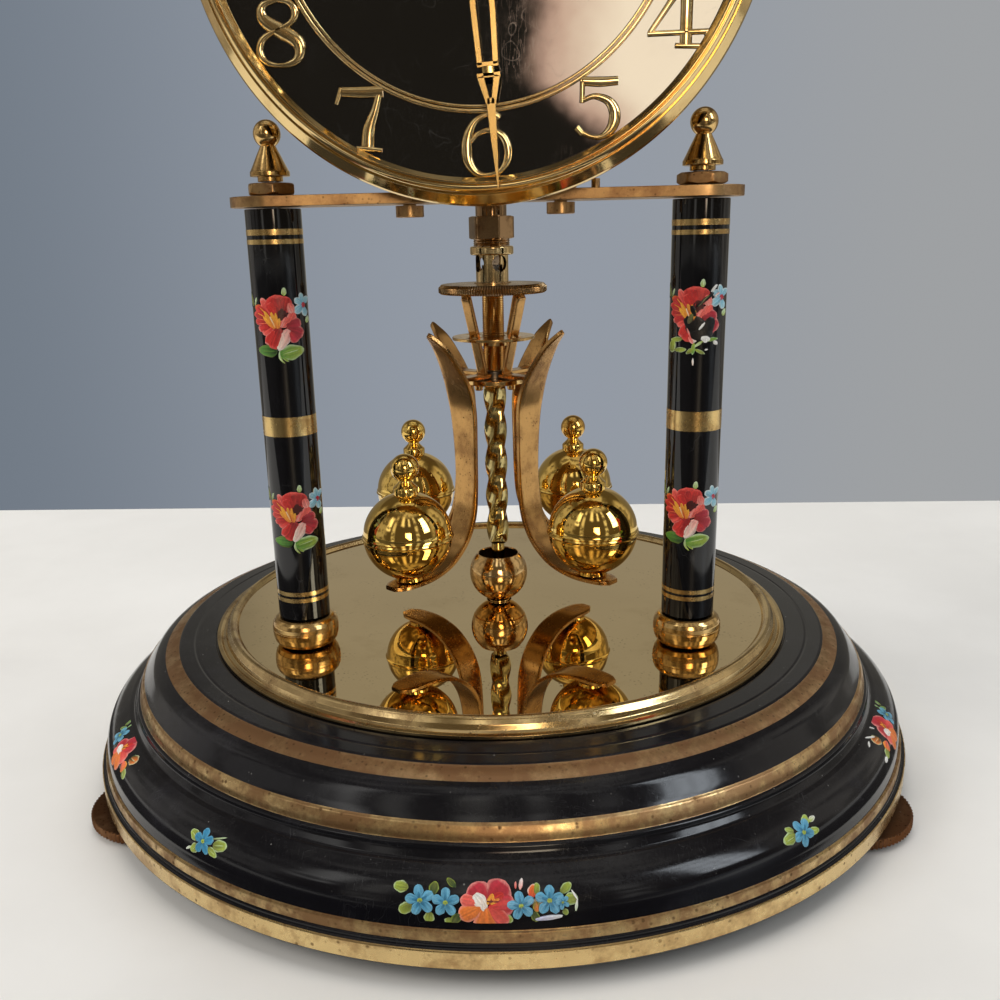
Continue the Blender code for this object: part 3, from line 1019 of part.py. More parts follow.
clear_scene()
MATERIALS = make_materials()
REACH_BEHIND = FOOT_CIRCLE + FOOT_DISC_RADIUS
CLOCK = empty("clock_axis", None, (0, (RIM_RADIUS - REACH_BEHIND) / 2, FOOT_HEIGHT))
STAND = empty("base_top", CLOCK, (0, 0, BASE_HEIGHT))
MOVEMENT = empty("movement", STAND, (0, BACK_PLATE_REAR_Y, DIAL_HEIGHT), (pi / 2, 0, 0))
PENDULUM = empty("pendulum_axis", STAND, rotation=(0, 0, PENDULUM_REST))
PLACES = arbor_places()
build_base()
build_plate()
build_pillars()
build_platform()
build_frame(PLACES)
build_train(PLACES)
build_winding(PLACES)
build_escapement(PLACES)
build_suspension()
build_dial(PLACES)
build_pendulum()
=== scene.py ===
from math import pi, radians, cos, sin
import bpy
import bmesh
import numpy as np
from mathutils import Matrix, Vector


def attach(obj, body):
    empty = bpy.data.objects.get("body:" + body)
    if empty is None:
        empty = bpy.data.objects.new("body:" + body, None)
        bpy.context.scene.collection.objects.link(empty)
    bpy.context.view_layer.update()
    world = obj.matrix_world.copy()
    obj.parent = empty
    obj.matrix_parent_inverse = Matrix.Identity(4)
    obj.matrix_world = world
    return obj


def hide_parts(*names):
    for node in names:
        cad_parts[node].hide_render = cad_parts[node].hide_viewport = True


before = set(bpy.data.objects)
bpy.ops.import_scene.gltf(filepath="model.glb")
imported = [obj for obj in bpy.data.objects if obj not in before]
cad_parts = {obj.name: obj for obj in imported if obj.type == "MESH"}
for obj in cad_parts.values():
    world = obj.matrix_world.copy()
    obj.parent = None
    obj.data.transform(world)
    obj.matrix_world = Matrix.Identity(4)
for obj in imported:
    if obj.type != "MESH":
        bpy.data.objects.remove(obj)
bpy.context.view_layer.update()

# Shapes are drawn in millimetres from the middle of the base's underside, and placed once in metres
MM = 0.001
AXIS = np.array([0.0, -1.75, 4.2])
DIAL_HEIGHT = 171.0
BACK_PLATE_Y = -15.5
PENDULUM_REST = 4.2
PILLAR_X, PILLAR_Y = 41.87, -26.26
GUARD_RADIUS = 3.45
# Points nearer than this, in metres, are one point, and a slab's top is this share of its full width
WELD = 0.000002
SLAB_EDGE = 0.952


# Node helpers

def node(tree, kind, **settings):
    """A node of one kind with its options set."""
    made = tree.nodes.new(kind)
    for key, value in settings.items():
        setattr(made, key, value)
    return made


def feed(tree, socket, value):
    """Joins another node's socket to this one, or sets this one's own number or colour."""
    if isinstance(value, bpy.types.NodeSocket):
        tree.links.new(value, socket)
    elif isinstance(value, (tuple, list)) and len(value) == 3 and socket.type == "RGBA":
        socket.default_value = (*value, 1.0)
    else:
        socket.default_value = value


def calc(tree, operation, *values, clamp=False):
    """One sum on one to three values."""
    made = node(tree, "ShaderNodeMath", operation=operation, use_clamp=clamp)
    for index, value in enumerate(values):
        feed(tree, made.inputs[index], value)
    return made.outputs[0]


def blended(tree, factor, low, high, mode="MIX"):
    """Colour between two colours."""
    made = node(tree, "ShaderNodeMix", data_type="RGBA", blend_type=mode)
    feed(tree, made.inputs[0], factor)
    feed(tree, made.inputs[6], low)
    feed(tree, made.inputs[7], high)
    return made.outputs[2]


def spread(tree, value, low, high, start=0.0, end=1.0):
    """Value moved smoothly from one range into another and held at its ends."""
    made = node(tree, "ShaderNodeMapRange", interpolation_type="SMOOTHSTEP")
    feed(tree, made.inputs[0], value)
    for index, number in enumerate((low, high, start, end)):
        feed(tree, made.inputs[index + 1], number)
    return made.outputs[0]


def split(tree, vector):
    """The three numbers of a vector."""
    made = node(tree, "ShaderNodeSeparateXYZ")
    feed(tree, made.inputs[0], vector)
    return made.outputs


def mapped(tree, where, turn, stretch=(1, 1, 1)):
    """Pattern place turned and stretched."""
    made = node(tree, "ShaderNodeMapping")
    feed(tree, made.inputs[0], where)
    made.inputs["Rotation"].default_value = turn
    made.inputs["Scale"].default_value = stretch
    return made.outputs[0]


def centred(tree, where, centre, turn):
    """Pattern place measured from a centre in millimetres, and turned."""
    shift = node(tree, "ShaderNodeVectorMath", operation="SUBTRACT")
    feed(tree, shift.inputs[0], where)
    shift.inputs[1].default_value = [(c + a) * MM for c, a in zip(centre, AXIS)]
    return mapped(tree, shift.outputs[0], turn)


def clouds(tree, where, scale, detail=4.0, rough=0.6):
    """Soft noise about one half."""
    made = node(tree, "ShaderNodeTexNoise")
    feed(tree, made.inputs["Vector"], where)
    feed(tree, made.inputs["Scale"], scale)
    made.inputs["Detail"].default_value = detail
    made.inputs["Roughness"].default_value = rough
    return made.outputs[0]


def cells(tree, where, scale):
    """Distance to the nearest of many scattered points."""
    made = node(tree, "ShaderNodeTexVoronoi")
    feed(tree, made.inputs["Vector"], where)
    feed(tree, made.inputs["Scale"], scale)
    return made.outputs["Distance"]


def effect(name, inputs, outputs):
    """An empty node group with named number and vector inputs and number outputs."""
    tree = bpy.data.node_groups.new(name, "ShaderNodeTree")
    for label, kind in inputs.items():
        tree.interface.new_socket(label, in_out="INPUT", socket_type="NodeSocket" + kind)
    for label in outputs:
        tree.interface.new_socket(label, in_out="OUTPUT", socket_type="NodeSocketFloat")
    return tree, node(tree, "NodeGroupInput").outputs, node(tree, "NodeGroupOutput").inputs


def apply(tree, group, **inputs):
    """Places a group in a material and sets its inputs."""
    made = node(tree, "ShaderNodeGroup", node_tree=group)
    for key, value in inputs.items():
        feed(tree, made.inputs[key], value)
    return made.outputs


def make_tarnish():
    """Cloudy stains where noise plus cover passes a level, and small round specks that gather in them."""
    inputs = {"Where": "Vector", "Size": "Float", "Cover": "Float", "Fine": "Float"}
    tree, given, out = effect("tarnish", inputs, ("Stain", "Specks"))
    soft = clouds(tree, given["Where"], given["Size"], 7.0, 0.68)
    level = calc(tree, "MULTIPLY_ADD", given["Cover"], 0.5, soft)
    feed(tree, out["Stain"], spread(tree, level, 0.6, 0.84))
    fine = cells(tree, given["Where"], given["Fine"])
    dots = spread(tree, fine, 0.1, 0.3, 1.0, 0.0)
    gate = clouds(tree, given["Where"], calc(tree, "MULTIPLY", given["Size"], 2.6), 4.0)
    keep = spread(tree, calc(tree, "MULTIPLY_ADD", given["Cover"], 0.25, gate), 0.52, 0.7)
    feed(tree, out["Specks"], calc(tree, "MULTIPLY", dots, keep))
    return tree


def make_dust():
    """Fine grey film on faces that look up, in patches, with a few bright grains."""
    tree, given, out = effect("dust", {"Where": "Vector", "Facing": "Float", "Amount": "Float"},
                              ("Film", "Grains"))
    up = spread(tree, given["Facing"], 0.05, 0.95)
    patch = spread(tree, clouds(tree, given["Where"], 38.0, 5.0, 0.65), 0.36, 0.7, 0.25, 1.0)
    fine = spread(tree, clouds(tree, given["Where"], 1500.0, 3.0, 0.7), 0.3, 0.75, 0.45, 1.0)
    film = calc(tree, "MULTIPLY", calc(tree, "MULTIPLY", up, patch), fine)
    feed(tree, out["Film"], calc(tree, "MULTIPLY", film, given["Amount"], clamp=True))
    grains = spread(tree, cells(tree, given["Where"], 700.0), 0.06, 0.15, 1.0, 0.0)
    gate = spread(tree, clouds(tree, given["Where"], 240.0, 3.0), 0.56, 0.68)
    grains = calc(tree, "MULTIPLY", calc(tree, "MULTIPLY", grains, gate), up)
    feed(tree, out["Grains"], calc(tree, "MULTIPLY", grains, given["Amount"], clamp=True))
    return tree


def make_scratches():
    """Thin lines where stretched noise crosses one half, in two directions."""
    tree, given, out = effect("scratches", {"Where": "Vector", "Size": "Float"}, ("Lines",))
    lines = []
    for turn, stretch in (((0.3, 0.5, 0.4), (1.0, 9.0, 1.0)), ((1.1, 0.2, 2.0), (8.0, 1.0, 1.4))):
        value = clouds(tree, mapped(tree, given["Where"], turn, stretch), given["Size"], 1.0)
        gap = calc(tree, "ABSOLUTE", calc(tree, "SUBTRACT", value, 0.5))
        lines.append(spread(tree, gap, 0.0, 0.006, 1.0, 0.0))
    gate = spread(tree, clouds(tree, given["Where"], 90.0, 2.0), 0.45, 0.65)
    feed(tree, out["Lines"], calc(tree, "MULTIPLY", calc(tree, "MAXIMUM", *lines), gate))
    return tree


def make_turning():
    """Lathe marks: noise that depends only on the distance from the piece's axis and the place along it."""
    tree, given, out = effect("turning", {"Where": "Vector", "Pitch": "Float"}, ("Rings",))
    x, y, z = split(tree, given["Where"])
    place = node(tree, "ShaderNodeCombineXYZ")
    square = calc(tree, "MULTIPLY_ADD", x, x, calc(tree, "MULTIPLY", y, y))
    feed(tree, place.inputs[0], calc(tree, "SQRT", square))
    feed(tree, place.inputs[1], z)
    feed(tree, out["Rings"], clouds(tree, place.outputs[0], given["Pitch"], 2.0, 0.5))
    return tree


TARNISH = make_tarnish()
DUST = make_dust()
SCRATCHES = make_scratches()
TURNING = make_turning()


def begin(name):
    """A new material: its tree, its shader, the place on the piece and how far faces look up."""
    made = bpy.data.materials.new(name)
    made.use_nodes = True
    tree = made.node_tree
    where = node(tree, "ShaderNodeTexCoord").outputs["Object"]
    normal = node(tree, "ShaderNodeNewGeometry").outputs["Normal"]
    return made, tree, tree.nodes["Principled BSDF"], where, split(tree, normal)[2]


def bumped(tree, shader, height, distance):
    """Feeds a height into the shader's normal."""
    made = node(tree, "ShaderNodeBump")
    made.inputs["Strength"].default_value = 1.0
    made.inputs["Distance"].default_value = distance * MM
    feed(tree, made.inputs["Height"], height)
    feed(tree, shader.inputs["Normal"], made.outputs[0])


def metal(name, bright, dull, rough, cover, size, specks, centre=(0, 0, 0), turn=(0, 0, 0),
          pitch=1500.0, rings=0.5, scratch=0.3, dust=0.3, relief=0.004, dusty=(0.34, 0.31, 0.27), patchy=0.12,
          fine=1000.0, dark=0.22, film_rough=0.35):
    """Metal whose colour goes from bright to dull by tarnish, duller and rougher under specks and dust,
    with lathe marks and scratches in its normal."""
    made, tree, shader, where, facing = begin(name)
    tarnish = apply(tree, TARNISH, Where=where, Size=size, Cover=cover, Fine=fine)
    film = apply(tree, DUST, Where=where, Facing=facing, Amount=dust)
    lines = apply(tree, SCRATCHES, Where=where, Size=220.0)["Lines"]
    marks = apply(tree, TURNING, Where=centred(tree, where, centre, turn), Pitch=pitch)["Rings"]
    shade = clouds(tree, where, size * 0.4, 3.0)
    colour = blended(tree, spread(tree, shade, 0.3, 0.7, 0.0, 0.35), bright, dull)
    colour = blended(tree, tarnish["Stain"], colour, dull)
    dots = calc(tree, "MULTIPLY", tarnish["Specks"], specks)
    colour = blended(tree, dots, colour, tuple(c * dark for c in dull))
    colour = blended(tree, calc(tree, "MULTIPLY", film["Film"], 0.4), colour, dusty)
    colour = blended(tree, film["Grains"], colour, (0.75, 0.73, 0.68))
    feed(tree, shader.inputs["Base Color"], colour)
    shader.inputs["Metallic"].default_value = 1.0
    level = calc(tree, "MULTIPLY_ADD", tarnish["Stain"], patchy, rough)
    level = calc(tree, "MULTIPLY_ADD", dots, 0.3, level)
    level = calc(tree, "MULTIPLY_ADD", film["Film"], film_rough, level)
    level = calc(tree, "MULTIPLY_ADD", lines, 0.12 * scratch, level, clamp=True)
    feed(tree, shader.inputs["Roughness"], level)
    height = calc(tree, "MULTIPLY_ADD", marks, rings, calc(tree, "MULTIPLY", lines, -scratch))
    height = calc(tree, "MULTIPLY_ADD", dots, -0.6, height)
    bumped(tree, shader, height, relief)
    return made


def enamel(name, colour, rough, dust, scratch=0.4, ripple=0.01, index=1.52):
    """Gloss enamel: deep colour under a slightly uneven skin, with scuffs, film dust and bright grains."""
    made, tree, shader, where, facing = begin(name)
    film = apply(tree, DUST, Where=where, Facing=facing, Amount=dust)
    lines = apply(tree, SCRATCHES, Where=where, Size=150.0)["Lines"]
    scuff = spread(tree, clouds(tree, where, 55.0, 6.0, 0.7), 0.5, 0.78)
    tint = blended(tree, scuff, colour, tuple(c * 2.2 + 0.004 for c in colour))
    tint = blended(tree, calc(tree, "MULTIPLY", film["Film"], 0.24), tint, (0.20, 0.19, 0.18))
    tint = blended(tree, calc(tree, "MULTIPLY", lines, 0.10 * scratch), tint, (0.5, 0.5, 0.5))
    tint = blended(tree, film["Grains"], tint, (0.55, 0.54, 0.5))
    feed(tree, shader.inputs["Base Color"], tint)
    level = calc(tree, "MULTIPLY_ADD", scuff, 0.14, rough)
    level = calc(tree, "MULTIPLY_ADD", film["Film"], 0.4, level)
    level = calc(tree, "MULTIPLY_ADD", lines, 0.25 * scratch, level, clamp=True)
    feed(tree, shader.inputs["Roughness"], level)
    shader.inputs["IOR"].default_value = index
    height = calc(tree, "MULTIPLY_ADD", lines, -0.1, clouds(tree, where, 26.0, 2.0))
    bumped(tree, shader, height, ripple)
    return made


def paint(name):
    """Brushed oil paint whose colour is painted on the piece's points, with fine streaks and a soft gloss."""
    made, tree, shader, where, _ = begin(name)
    colour = node(tree, "ShaderNodeAttribute", attribute_name="Paint")
    streaks = clouds(tree, where, 2600.0, 3.0)
    tint = blended(tree, spread(tree, streaks, 0.35, 0.7, 0.0, 0.35), colour.outputs["Color"],
                   (1.0, 0.9, 0.8), "SOFT_LIGHT")
    feed(tree, shader.inputs["Base Color"], tint)
    feed(tree, shader.inputs["Roughness"], spread(tree, streaks, 0.3, 0.7, 0.3, 0.5))
    bumped(tree, shader, streaks, 0.03)
    return made


BASE_ENAMEL = enamel("base_enamel", (0.003, 0.003, 0.005), 0.09, 0.35, index=1.40)
PILLAR_ENAMEL = enamel("pillar_enamel", (0.003, 0.003, 0.004), 0.06, 0.15, 0.5)
DIAL_BLACK = enamel("dial_black", (0.002, 0.002, 0.002), 0.03, 0.1, 0.5, ripple=0.004, index=1.9)
UNDER_BLACK = enamel("under_black", (0.012, 0.011, 0.010), 0.45, 0.1, 0.2)
RIM_GILT = metal("rim_gilt", (0.86, 0.64, 0.30), (0.48, 0.30, 0.13), 0.26, 0.32, 150.0, 0.8, rings=0.2,
                 dust=0.1, fine=640.0, dark=0.5)
BAND_GILT = metal("band_gilt", (0.84, 0.62, 0.30), (0.42, 0.25, 0.12), 0.26, 0.5, 190.0, 0.9, rings=0.2,
                  dust=0.12, patchy=0.2, fine=620.0, dark=0.55)
BAND_COPPER = metal("band_copper", (0.86, 0.60, 0.33), (0.50, 0.29, 0.15), 0.28, 0.55, 150.0, 0.8, rings=0.2,
                    dust=0.15, patchy=0.2, fine=800.0, dark=0.5)
STRIPE_GILT = metal("stripe_gilt", (0.86, 0.62, 0.26), (0.45, 0.27, 0.10), 0.22, 0.3, 130.0, 0.6, dust=0.1)
PLATE_MIRROR = metal("plate_mirror", (0.80, 0.63, 0.36), (0.68, 0.52, 0.28), 0.012, 0.2, 50.0, 0.5,
                     rings=0.0, scratch=0.1, dust=0.18, dusty=(0.42, 0.36, 0.26), relief=0.0004,
                     patchy=0.01, film_rough=0.05)
PLATE_EDGE = metal("plate_edge", (0.88, 0.66, 0.32), (0.42, 0.27, 0.12), 0.14, 0.35, 80.0, 0.7, rings=0.2)
BALL_GOLD = metal("ball_gold", (0.93, 0.64, 0.17), (0.72, 0.42, 0.10), 0.04, 0.25, 90.0, 0.35, rings=0.05,
                  scratch=0.2, dust=0.12, relief=0.003)
CUP_GOLD = metal("cup_gold", (0.93, 0.64, 0.30), (0.68, 0.42, 0.16), 0.09, 0.35, 120.0, 0.5, pitch=3000.0,
                 dust=0.15)
CUP_INSIDE = metal("cup_inside", (0.30, 0.17, 0.07), (0.12, 0.06, 0.03), 0.35, 0.6, 120.0, 0.6, pitch=3000.0)
STRAP_BRASS = metal("strap_brass", (0.64, 0.37, 0.13), (0.36, 0.19, 0.07), 0.17, 0.3, 130.0, 0.5, rings=0.1,
                    scratch=0.9, dust=0.05, relief=0.006)
# Lathe marks lie round each pillar's own axis
TURNED_BRASSES = [metal(label, (0.84, 0.57, 0.23), (0.44, 0.26, 0.09), 0.13, 0.4, 120.0, 0.5,
                        centre=(side * PILLAR_X, PILLAR_Y, 0), pitch=4000.0, dust=0.15)
                  for side, label in ((-1, "turned_brass"), (1, "turned_brass_right"))]
SATIN_BRASS = metal("satin_brass", (0.68, 0.44, 0.20), (0.34, 0.19, 0.09), 0.3, 0.45, 110.0, 0.6, scratch=0.6,
                    dust=0.2)
MOVEMENT_BRASS = metal("movement_brass", (0.82, 0.62, 0.28), (0.58, 0.40, 0.17), 0.27, 0.2, 60.0, 0.35,
                       scratch=0.6, dust=0.1)
GUARD_BRONZE = metal("guard_bronze", (0.42, 0.27, 0.14), (0.20, 0.11, 0.05), 0.1, 0.3, 160.0, 0.35,
                     pitch=3500.0, dust=0.05)
TUBE_BRASS = metal("tube_brass", (0.86, 0.64, 0.32), (0.48, 0.32, 0.14), 0.07, 0.25, 140.0, 0.4, pitch=4000.0,
                   dust=0.05)
DISC_BRONZE = metal("disc_bronze", (0.62, 0.44, 0.24), (0.32, 0.20, 0.10), 0.22, 0.4, 120.0, 0.5,
                    pitch=3000.0, dust=0.35)
SLEEVE_BRASS = metal("sleeve_brass", (0.92, 0.58, 0.20), (0.54, 0.29, 0.09), 0.15, 0.3, 160.0, 0.4,
                     pitch=4000.0, dust=0.05)
STRAP_GOLD = metal("strap_gold", (0.86, 0.58, 0.24), (0.48, 0.28, 0.10), 0.15, 0.3, 120.0, 0.4, pitch=2500.0,
                   dust=0.05)
ROD_BRASS = metal("rod_brass", (0.78, 0.64, 0.28), (0.36, 0.27, 0.10), 0.09, 0.4, 160.0, 0.5, rings=0.05,
                  dust=0.05)
BEZEL_GOLD = metal("bezel_gold", (0.93, 0.70, 0.33), (0.62, 0.40, 0.15), 0.08, 0.25, 60.0, 0.4,
                   centre=(0, 0, DIAL_HEIGHT), turn=(pi / 2, 0, 0), pitch=2500.0, rings=0.25)
NUMERAL_GILT = metal("numeral_gilt", (0.92, 0.72, 0.38), (0.60, 0.40, 0.15), 0.14, 0.3, 160.0, 0.4, rings=0.1)
HAND_GILT = metal("hand_gilt", (0.95, 0.70, 0.28), (0.62, 0.38, 0.12), 0.2, 0.3, 150.0, 0.4, rings=0.1)
STEEL = metal("steel", (0.52, 0.52, 0.53), (0.30, 0.29, 0.28), 0.24, 0.3, 120.0, 0.4)
# Very dark steel, which also serves as painted shade: the floor inside the pendulum tube and the bottom block
# take it so the tube looks dark inside through its cross holes
DARK_STEEL_AND_SHADE = metal("dark_steel_and_shade", (0.20, 0.18, 0.16), (0.08, 0.07, 0.06), 0.3, 0.4, 120.0, 0.5)
FOOT_RUST = metal("foot_rust", (0.30, 0.17, 0.09), (0.16, 0.07, 0.03), 0.45, 0.7, 90.0, 0.7, relief=0.02)
PETALS = paint("petals")


# Shapes: each is its points, four-cornered faces, a look number for each face and a colour for each point

def shaped(points, faces, looks=0, colours=None):
    """Points, faces, looks and colours as arrays of matching length."""
    points = np.asarray(points, float).reshape(-1, 3)
    faces = np.asarray(faces, int).reshape(-1, 4)
    looks = np.broadcast_to(np.asarray(looks, int), len(faces)).copy()
    if colours is None:
        colours = np.ones((len(points), 4))
    return points, faces, looks, np.asarray(colours, float).reshape(-1, 4)


def quads(rows, columns, round_rows=False, round_columns=True):
    """Faces between neighbours of a grid of points, joined round where it closes."""
    row = np.arange(rows if round_rows else rows - 1)[:, None]
    column = np.arange(columns if round_columns else columns - 1)[None, :]
    near, far = row * columns, (row + 1) % rows * columns
    on = (column + 1) % columns
    return np.stack([near + column, near + on, far + on, far + column], -1).reshape(-1, 4)


def softened(corners, reach, steps=4, looks=None):
    """Closed outline whose corners become short curves: each is the quadratic blend of a point a little way
    back, the corner and a point a little way on, with one more point beyond each so that flats shade flat."""
    corners = np.asarray(corners, float)
    back = np.roll(corners, 1, 0) - corners
    on = np.roll(corners, -1, 0) - corners
    far_back = np.linalg.norm(back, axis=1)[:, None] + 1e-9
    far_on = np.linalg.norm(on, axis=1)[:, None] + 1e-9
    reach = np.broadcast_to(np.asarray(reach, float), len(corners))[:, None]
    reach = np.minimum(reach, 0.4 * np.minimum(far_back, far_on))
    start = corners + back / far_back * reach
    end = corners + on / far_on * reach
    t = np.linspace(0, 1, steps)[None, :, None]
    curve = (1 - t) ** 2 * start[:, None] + 2 * t * (1 - t) * corners[:, None] + t ** 2 * end[:, None]
    before = start + back / far_back * reach * 0.2
    after = end + on / far_on * reach * 0.2
    outline = np.concatenate([before[:, None], curve, after[:, None]], 1).reshape(-1, corners.shape[1])
    if looks is None:
        return outline
    looks = np.asarray(looks, int)
    early = np.arange(steps + 2) < (steps + 2) / 2
    return outline, np.where(early[None, :], np.roll(looks, 1)[:, None], looks[:, None]).reshape(-1)


def smooth(points, count):
    """Points along the curve through the given points, each stretch a cubic whose end slopes are half the
    step between its neighbours."""
    points = np.asarray(points, float)
    ends = np.concatenate([2 * points[:1] - points[1:2], points, 2 * points[-1:] - points[-2:-1]])
    u = np.linspace(0, len(points) - 1, count)
    i = np.minimum(u.astype(int), len(points) - 2)
    t = (u - i)[:, None]
    a, b, c, d = ends[i], ends[i + 1], ends[i + 2], ends[i + 3]
    return 0.5 * (2 * b + (c - a) * t + (2 * a - 5 * b + 4 * c - d) * t ** 2
                  + (3 * b - a - 3 * c + d) * t ** 3)


def arc(centre, radius, start, end, count):
    """Points along part of a circle, from one angle in degrees to another."""
    angle = np.radians(np.linspace(start, end, count))
    return np.stack([centre[0] + radius * np.cos(angle), centre[1] + radius * np.sin(angle)], -1)


def bearings(count, start=0.0):
    """Even angles once round, in radians."""
    return np.linspace(start, start + 2 * pi, count, endpoint=False)


def spun(radius, angle, height, x=0.0, y=0.0):
    """Points at a radius and an angle about an upright axis, at a height."""
    return np.stack([x + radius * np.cos(angle), y + radius * np.sin(angle), height + 0 * radius * angle], -1)


def resampled(values, count):
    """Values at even steps from those given, straight between them."""
    return np.interp(np.linspace(0, 1, count), np.linspace(0, 1, len(values)), values)


def turned(profile, steps, looks=0, ripple=None):
    """A closed profile of radius and height spun about the upright axis: every profile point at every angle,
    with the radius changed by a ripple where there is one."""
    profile = np.asarray(profile, float)
    angle = bearings(steps)
    radius = profile[:, :1] + 0 * angle
    if ripple:
        radius = ripple(radius, angle)
    looks = np.asarray(looks, int)
    if looks.ndim:
        looks = np.repeat(looks, steps)
    return shaped(spun(radius, angle, profile[:, 1:]), quads(len(profile), steps, True), looks)


def carried(path, across, up, section, width, height):
    """A closed section of side and rise carried along a path: path + side x width x across + rise x height x
    up, with both ends drawn in to the path."""
    path, across, up = (np.asarray(item, float) for item in (path, across, up))
    width = np.broadcast_to(np.asarray(width, float), len(path))
    height = np.broadcast_to(np.asarray(height, float), len(path))
    section = np.asarray(section, float)
    rows = (path[:, None] + section[None, :, :1] * width[:, None, None] * across[:, None]
            + section[None, :, 1:] * height[:, None, None] * up[:, None])
    middle = rows.mean(1, keepdims=True)
    inner = middle + (rows - middle) * 0.85
    first, last = 0 * rows[:1] + middle[:1], 0 * rows[-1:] + middle[-1:]
    rows = np.concatenate([first, inner[:1], rows, inner[-1:], last])
    return shaped(rows, quads(len(rows), len(section)))


def slab(grid, thickness):
    """A sheet given as a grid of points with a thickness below it: the top row, a rounded side, the bottom
    row back again, and ends drawn in to the middle."""
    grid = np.asarray(grid, float)
    down = np.array([0, 0, -thickness])
    middle = grid.mean(1, keepdims=True)
    top = middle + (grid - middle) * SLAB_EDGE
    side_a = grid[:, -1:] + down * np.array([0.25, 0.75])[None, :, None]
    side_b = grid[:, :1] + down * np.array([0.75, 0.25])[None, :, None]
    ring = np.concatenate([top, side_a, top[:, ::-1] + down, side_b], 1)
    first, last = [np.concatenate([end, end[:, -1:].repeat(2, 1), end[:, ::-1], end[:, :1].repeat(2, 1)], 1)
                   + down / 2 for end in (grid[:1], grid[-1:])]
    rows = np.concatenate([first, ring, last])
    return shaped(rows, quads(len(rows), rows.shape[1]))


def shifted(shape, x=0.0, y=0.0, z=0.0, spin=0.0):
    """A shape turned about the upright axis by degrees, then moved."""
    points, faces, looks, colours = shape
    c, s = cos(radians(spin)), sin(radians(spin))
    turned_points = points @ np.array([[c, s, 0], [-s, c, 0], [0, 0, 1]])
    return turned_points + np.array([x, y, z]), faces, looks, colours


def facing(shape):
    """A shape drawn on the dial, x right, y up and z forward, stood up in the clock."""
    points, faces, looks, colours = shape
    stood = np.stack([points[:, 0], BACK_PLATE_Y - points[:, 2], DIAL_HEIGHT + points[:, 1]], -1)
    return stood, faces, looks, colours


def merged(shapes):
    """Several shapes in one: their points in a row, with each one's faces counted on from the last."""
    starts = np.cumsum([0] + [len(item[0]) for item in shapes[:-1]])
    faces = np.concatenate([item[1] + start for item, start in zip(shapes, starts)])
    return (np.concatenate([item[0] for item in shapes]), faces, np.concatenate([item[2] for item in shapes]),
            np.concatenate([item[3] for item in shapes]))


def placed(name, data):
    """A new object in the scene that holds this data."""
    made = bpy.data.objects.new(name, data)
    bpy.context.scene.collection.objects.link(made)
    return made


def piece(name, body, looks, shapes, stands_for, sharp=34, painted=False):
    """Puts shapes into a mesh in metres, closes its seams, turns its faces outwards and rides it on a
    body."""
    points, faces, numbers, colours = merged(shapes if isinstance(shapes, list) else [shapes])
    mesh = bpy.data.meshes.new(name)
    mesh.from_pydata(((points + AXIS) * MM).tolist(), [], faces.tolist())
    for look in looks:
        mesh.materials.append(look)
    mesh.polygons.foreach_set("material_index", numbers.astype(np.int32))
    if painted:
        layer = mesh.color_attributes.new("Paint", "FLOAT_COLOR", "POINT")
        layer.data.foreach_set("color", colours.astype(np.float32).ravel())
    bm = bmesh.new()
    bm.from_mesh(mesh)
    bmesh.ops.remove_doubles(bm, verts=bm.verts, dist=WELD)
    bmesh.ops.recalc_face_normals(bm, faces=bm.faces)
    bm.to_mesh(mesh)
    bm.free()
    mesh.shade_smooth()
    mesh.set_sharp_from_angle(angle=radians(sharp))
    made = placed(name, mesh)
    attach(made, body)
    if stands_for:
        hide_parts(*stands_for)


def profile_of(corners, reach):
    """Softened profile from a list of radius and height, sharp where it meets the axis."""
    corners = np.asarray(corners, float)
    return softened(corners, np.where(corners[:, 0] < 0.001, 0.0, reach))


def drum(inner, outer, low, high, reach, steps, look=0, ripple=None):
    """A round bar or a ring between two heights, with softened edges."""
    profile = profile_of([(inner, low), (outer, low), (outer, high), (inner, high)], reach)
    return turned(profile, steps, look, ripple)


def knurled(count, depth, outside):
    """Ripple that cuts shallow ridges into everything near the outside radius."""
    def ripple(radius, angle):
        wave = np.abs((angle * count / (2 * pi)) % 1 - 0.5) * 2
        return radius - depth * wave * (radius > outside - depth * 2)
    return ripple


def hexagonal(corner, low, high, bore, chamfer, turn):
    """Six-sided bar between two heights: at each angle the radius is the smaller of the hexagon's side and a
    cone that cuts its corners at both ends."""
    flat = corner * cos(pi / 6)
    count = 108
    angle = bearings(count)
    side = flat / np.cos((angle - radians(turn) + pi / 6) % (pi / 3) - pi / 6)
    side = np.minimum(side, corner * 0.985)
    t = np.linspace(0, 1, 4)
    cone = flat * 0.97 + (corner - flat * 0.97) * t
    lower = low + chamfer * t
    limits = np.concatenate([cone, cone[::-1]])
    heights = np.concatenate([lower, high - chamfer * t[::-1]])
    radius = np.minimum(side[None, :], limits[:, None])
    radius = np.concatenate([radius, np.full((2, count), bore)])
    heights = np.concatenate([heights, [high, low]])
    return shaped(spun(radius, angle, heights[:, None]), quads(len(heights), count, True))


SLOT_WIDTH = 0.7
SLOT_DEPTH = 0.7


def screw_head(radius, low, high):
    """Cheese head with a slot: a turned head whose top sinks between two parallel lines."""
    count = 64
    shares = np.array([0, 0.2, 0.4, 0.6, 0.8, 0.93, 1.0])
    angle = bearings(count)
    top = spun(shares[:, None] * radius, angle, high)
    top[..., 2] -= (np.abs(top[..., 1]) < SLOT_WIDTH / 2) * SLOT_DEPTH
    top[-1, :, 2] -= 0.12
    side = np.array([[radius, high - 0.25], [radius, low], [0, low]])
    rows = np.concatenate([top, spun(side[:, :1], angle, side[:, 1:])])
    return shaped(rows, quads(len(rows), count, False))


# Base

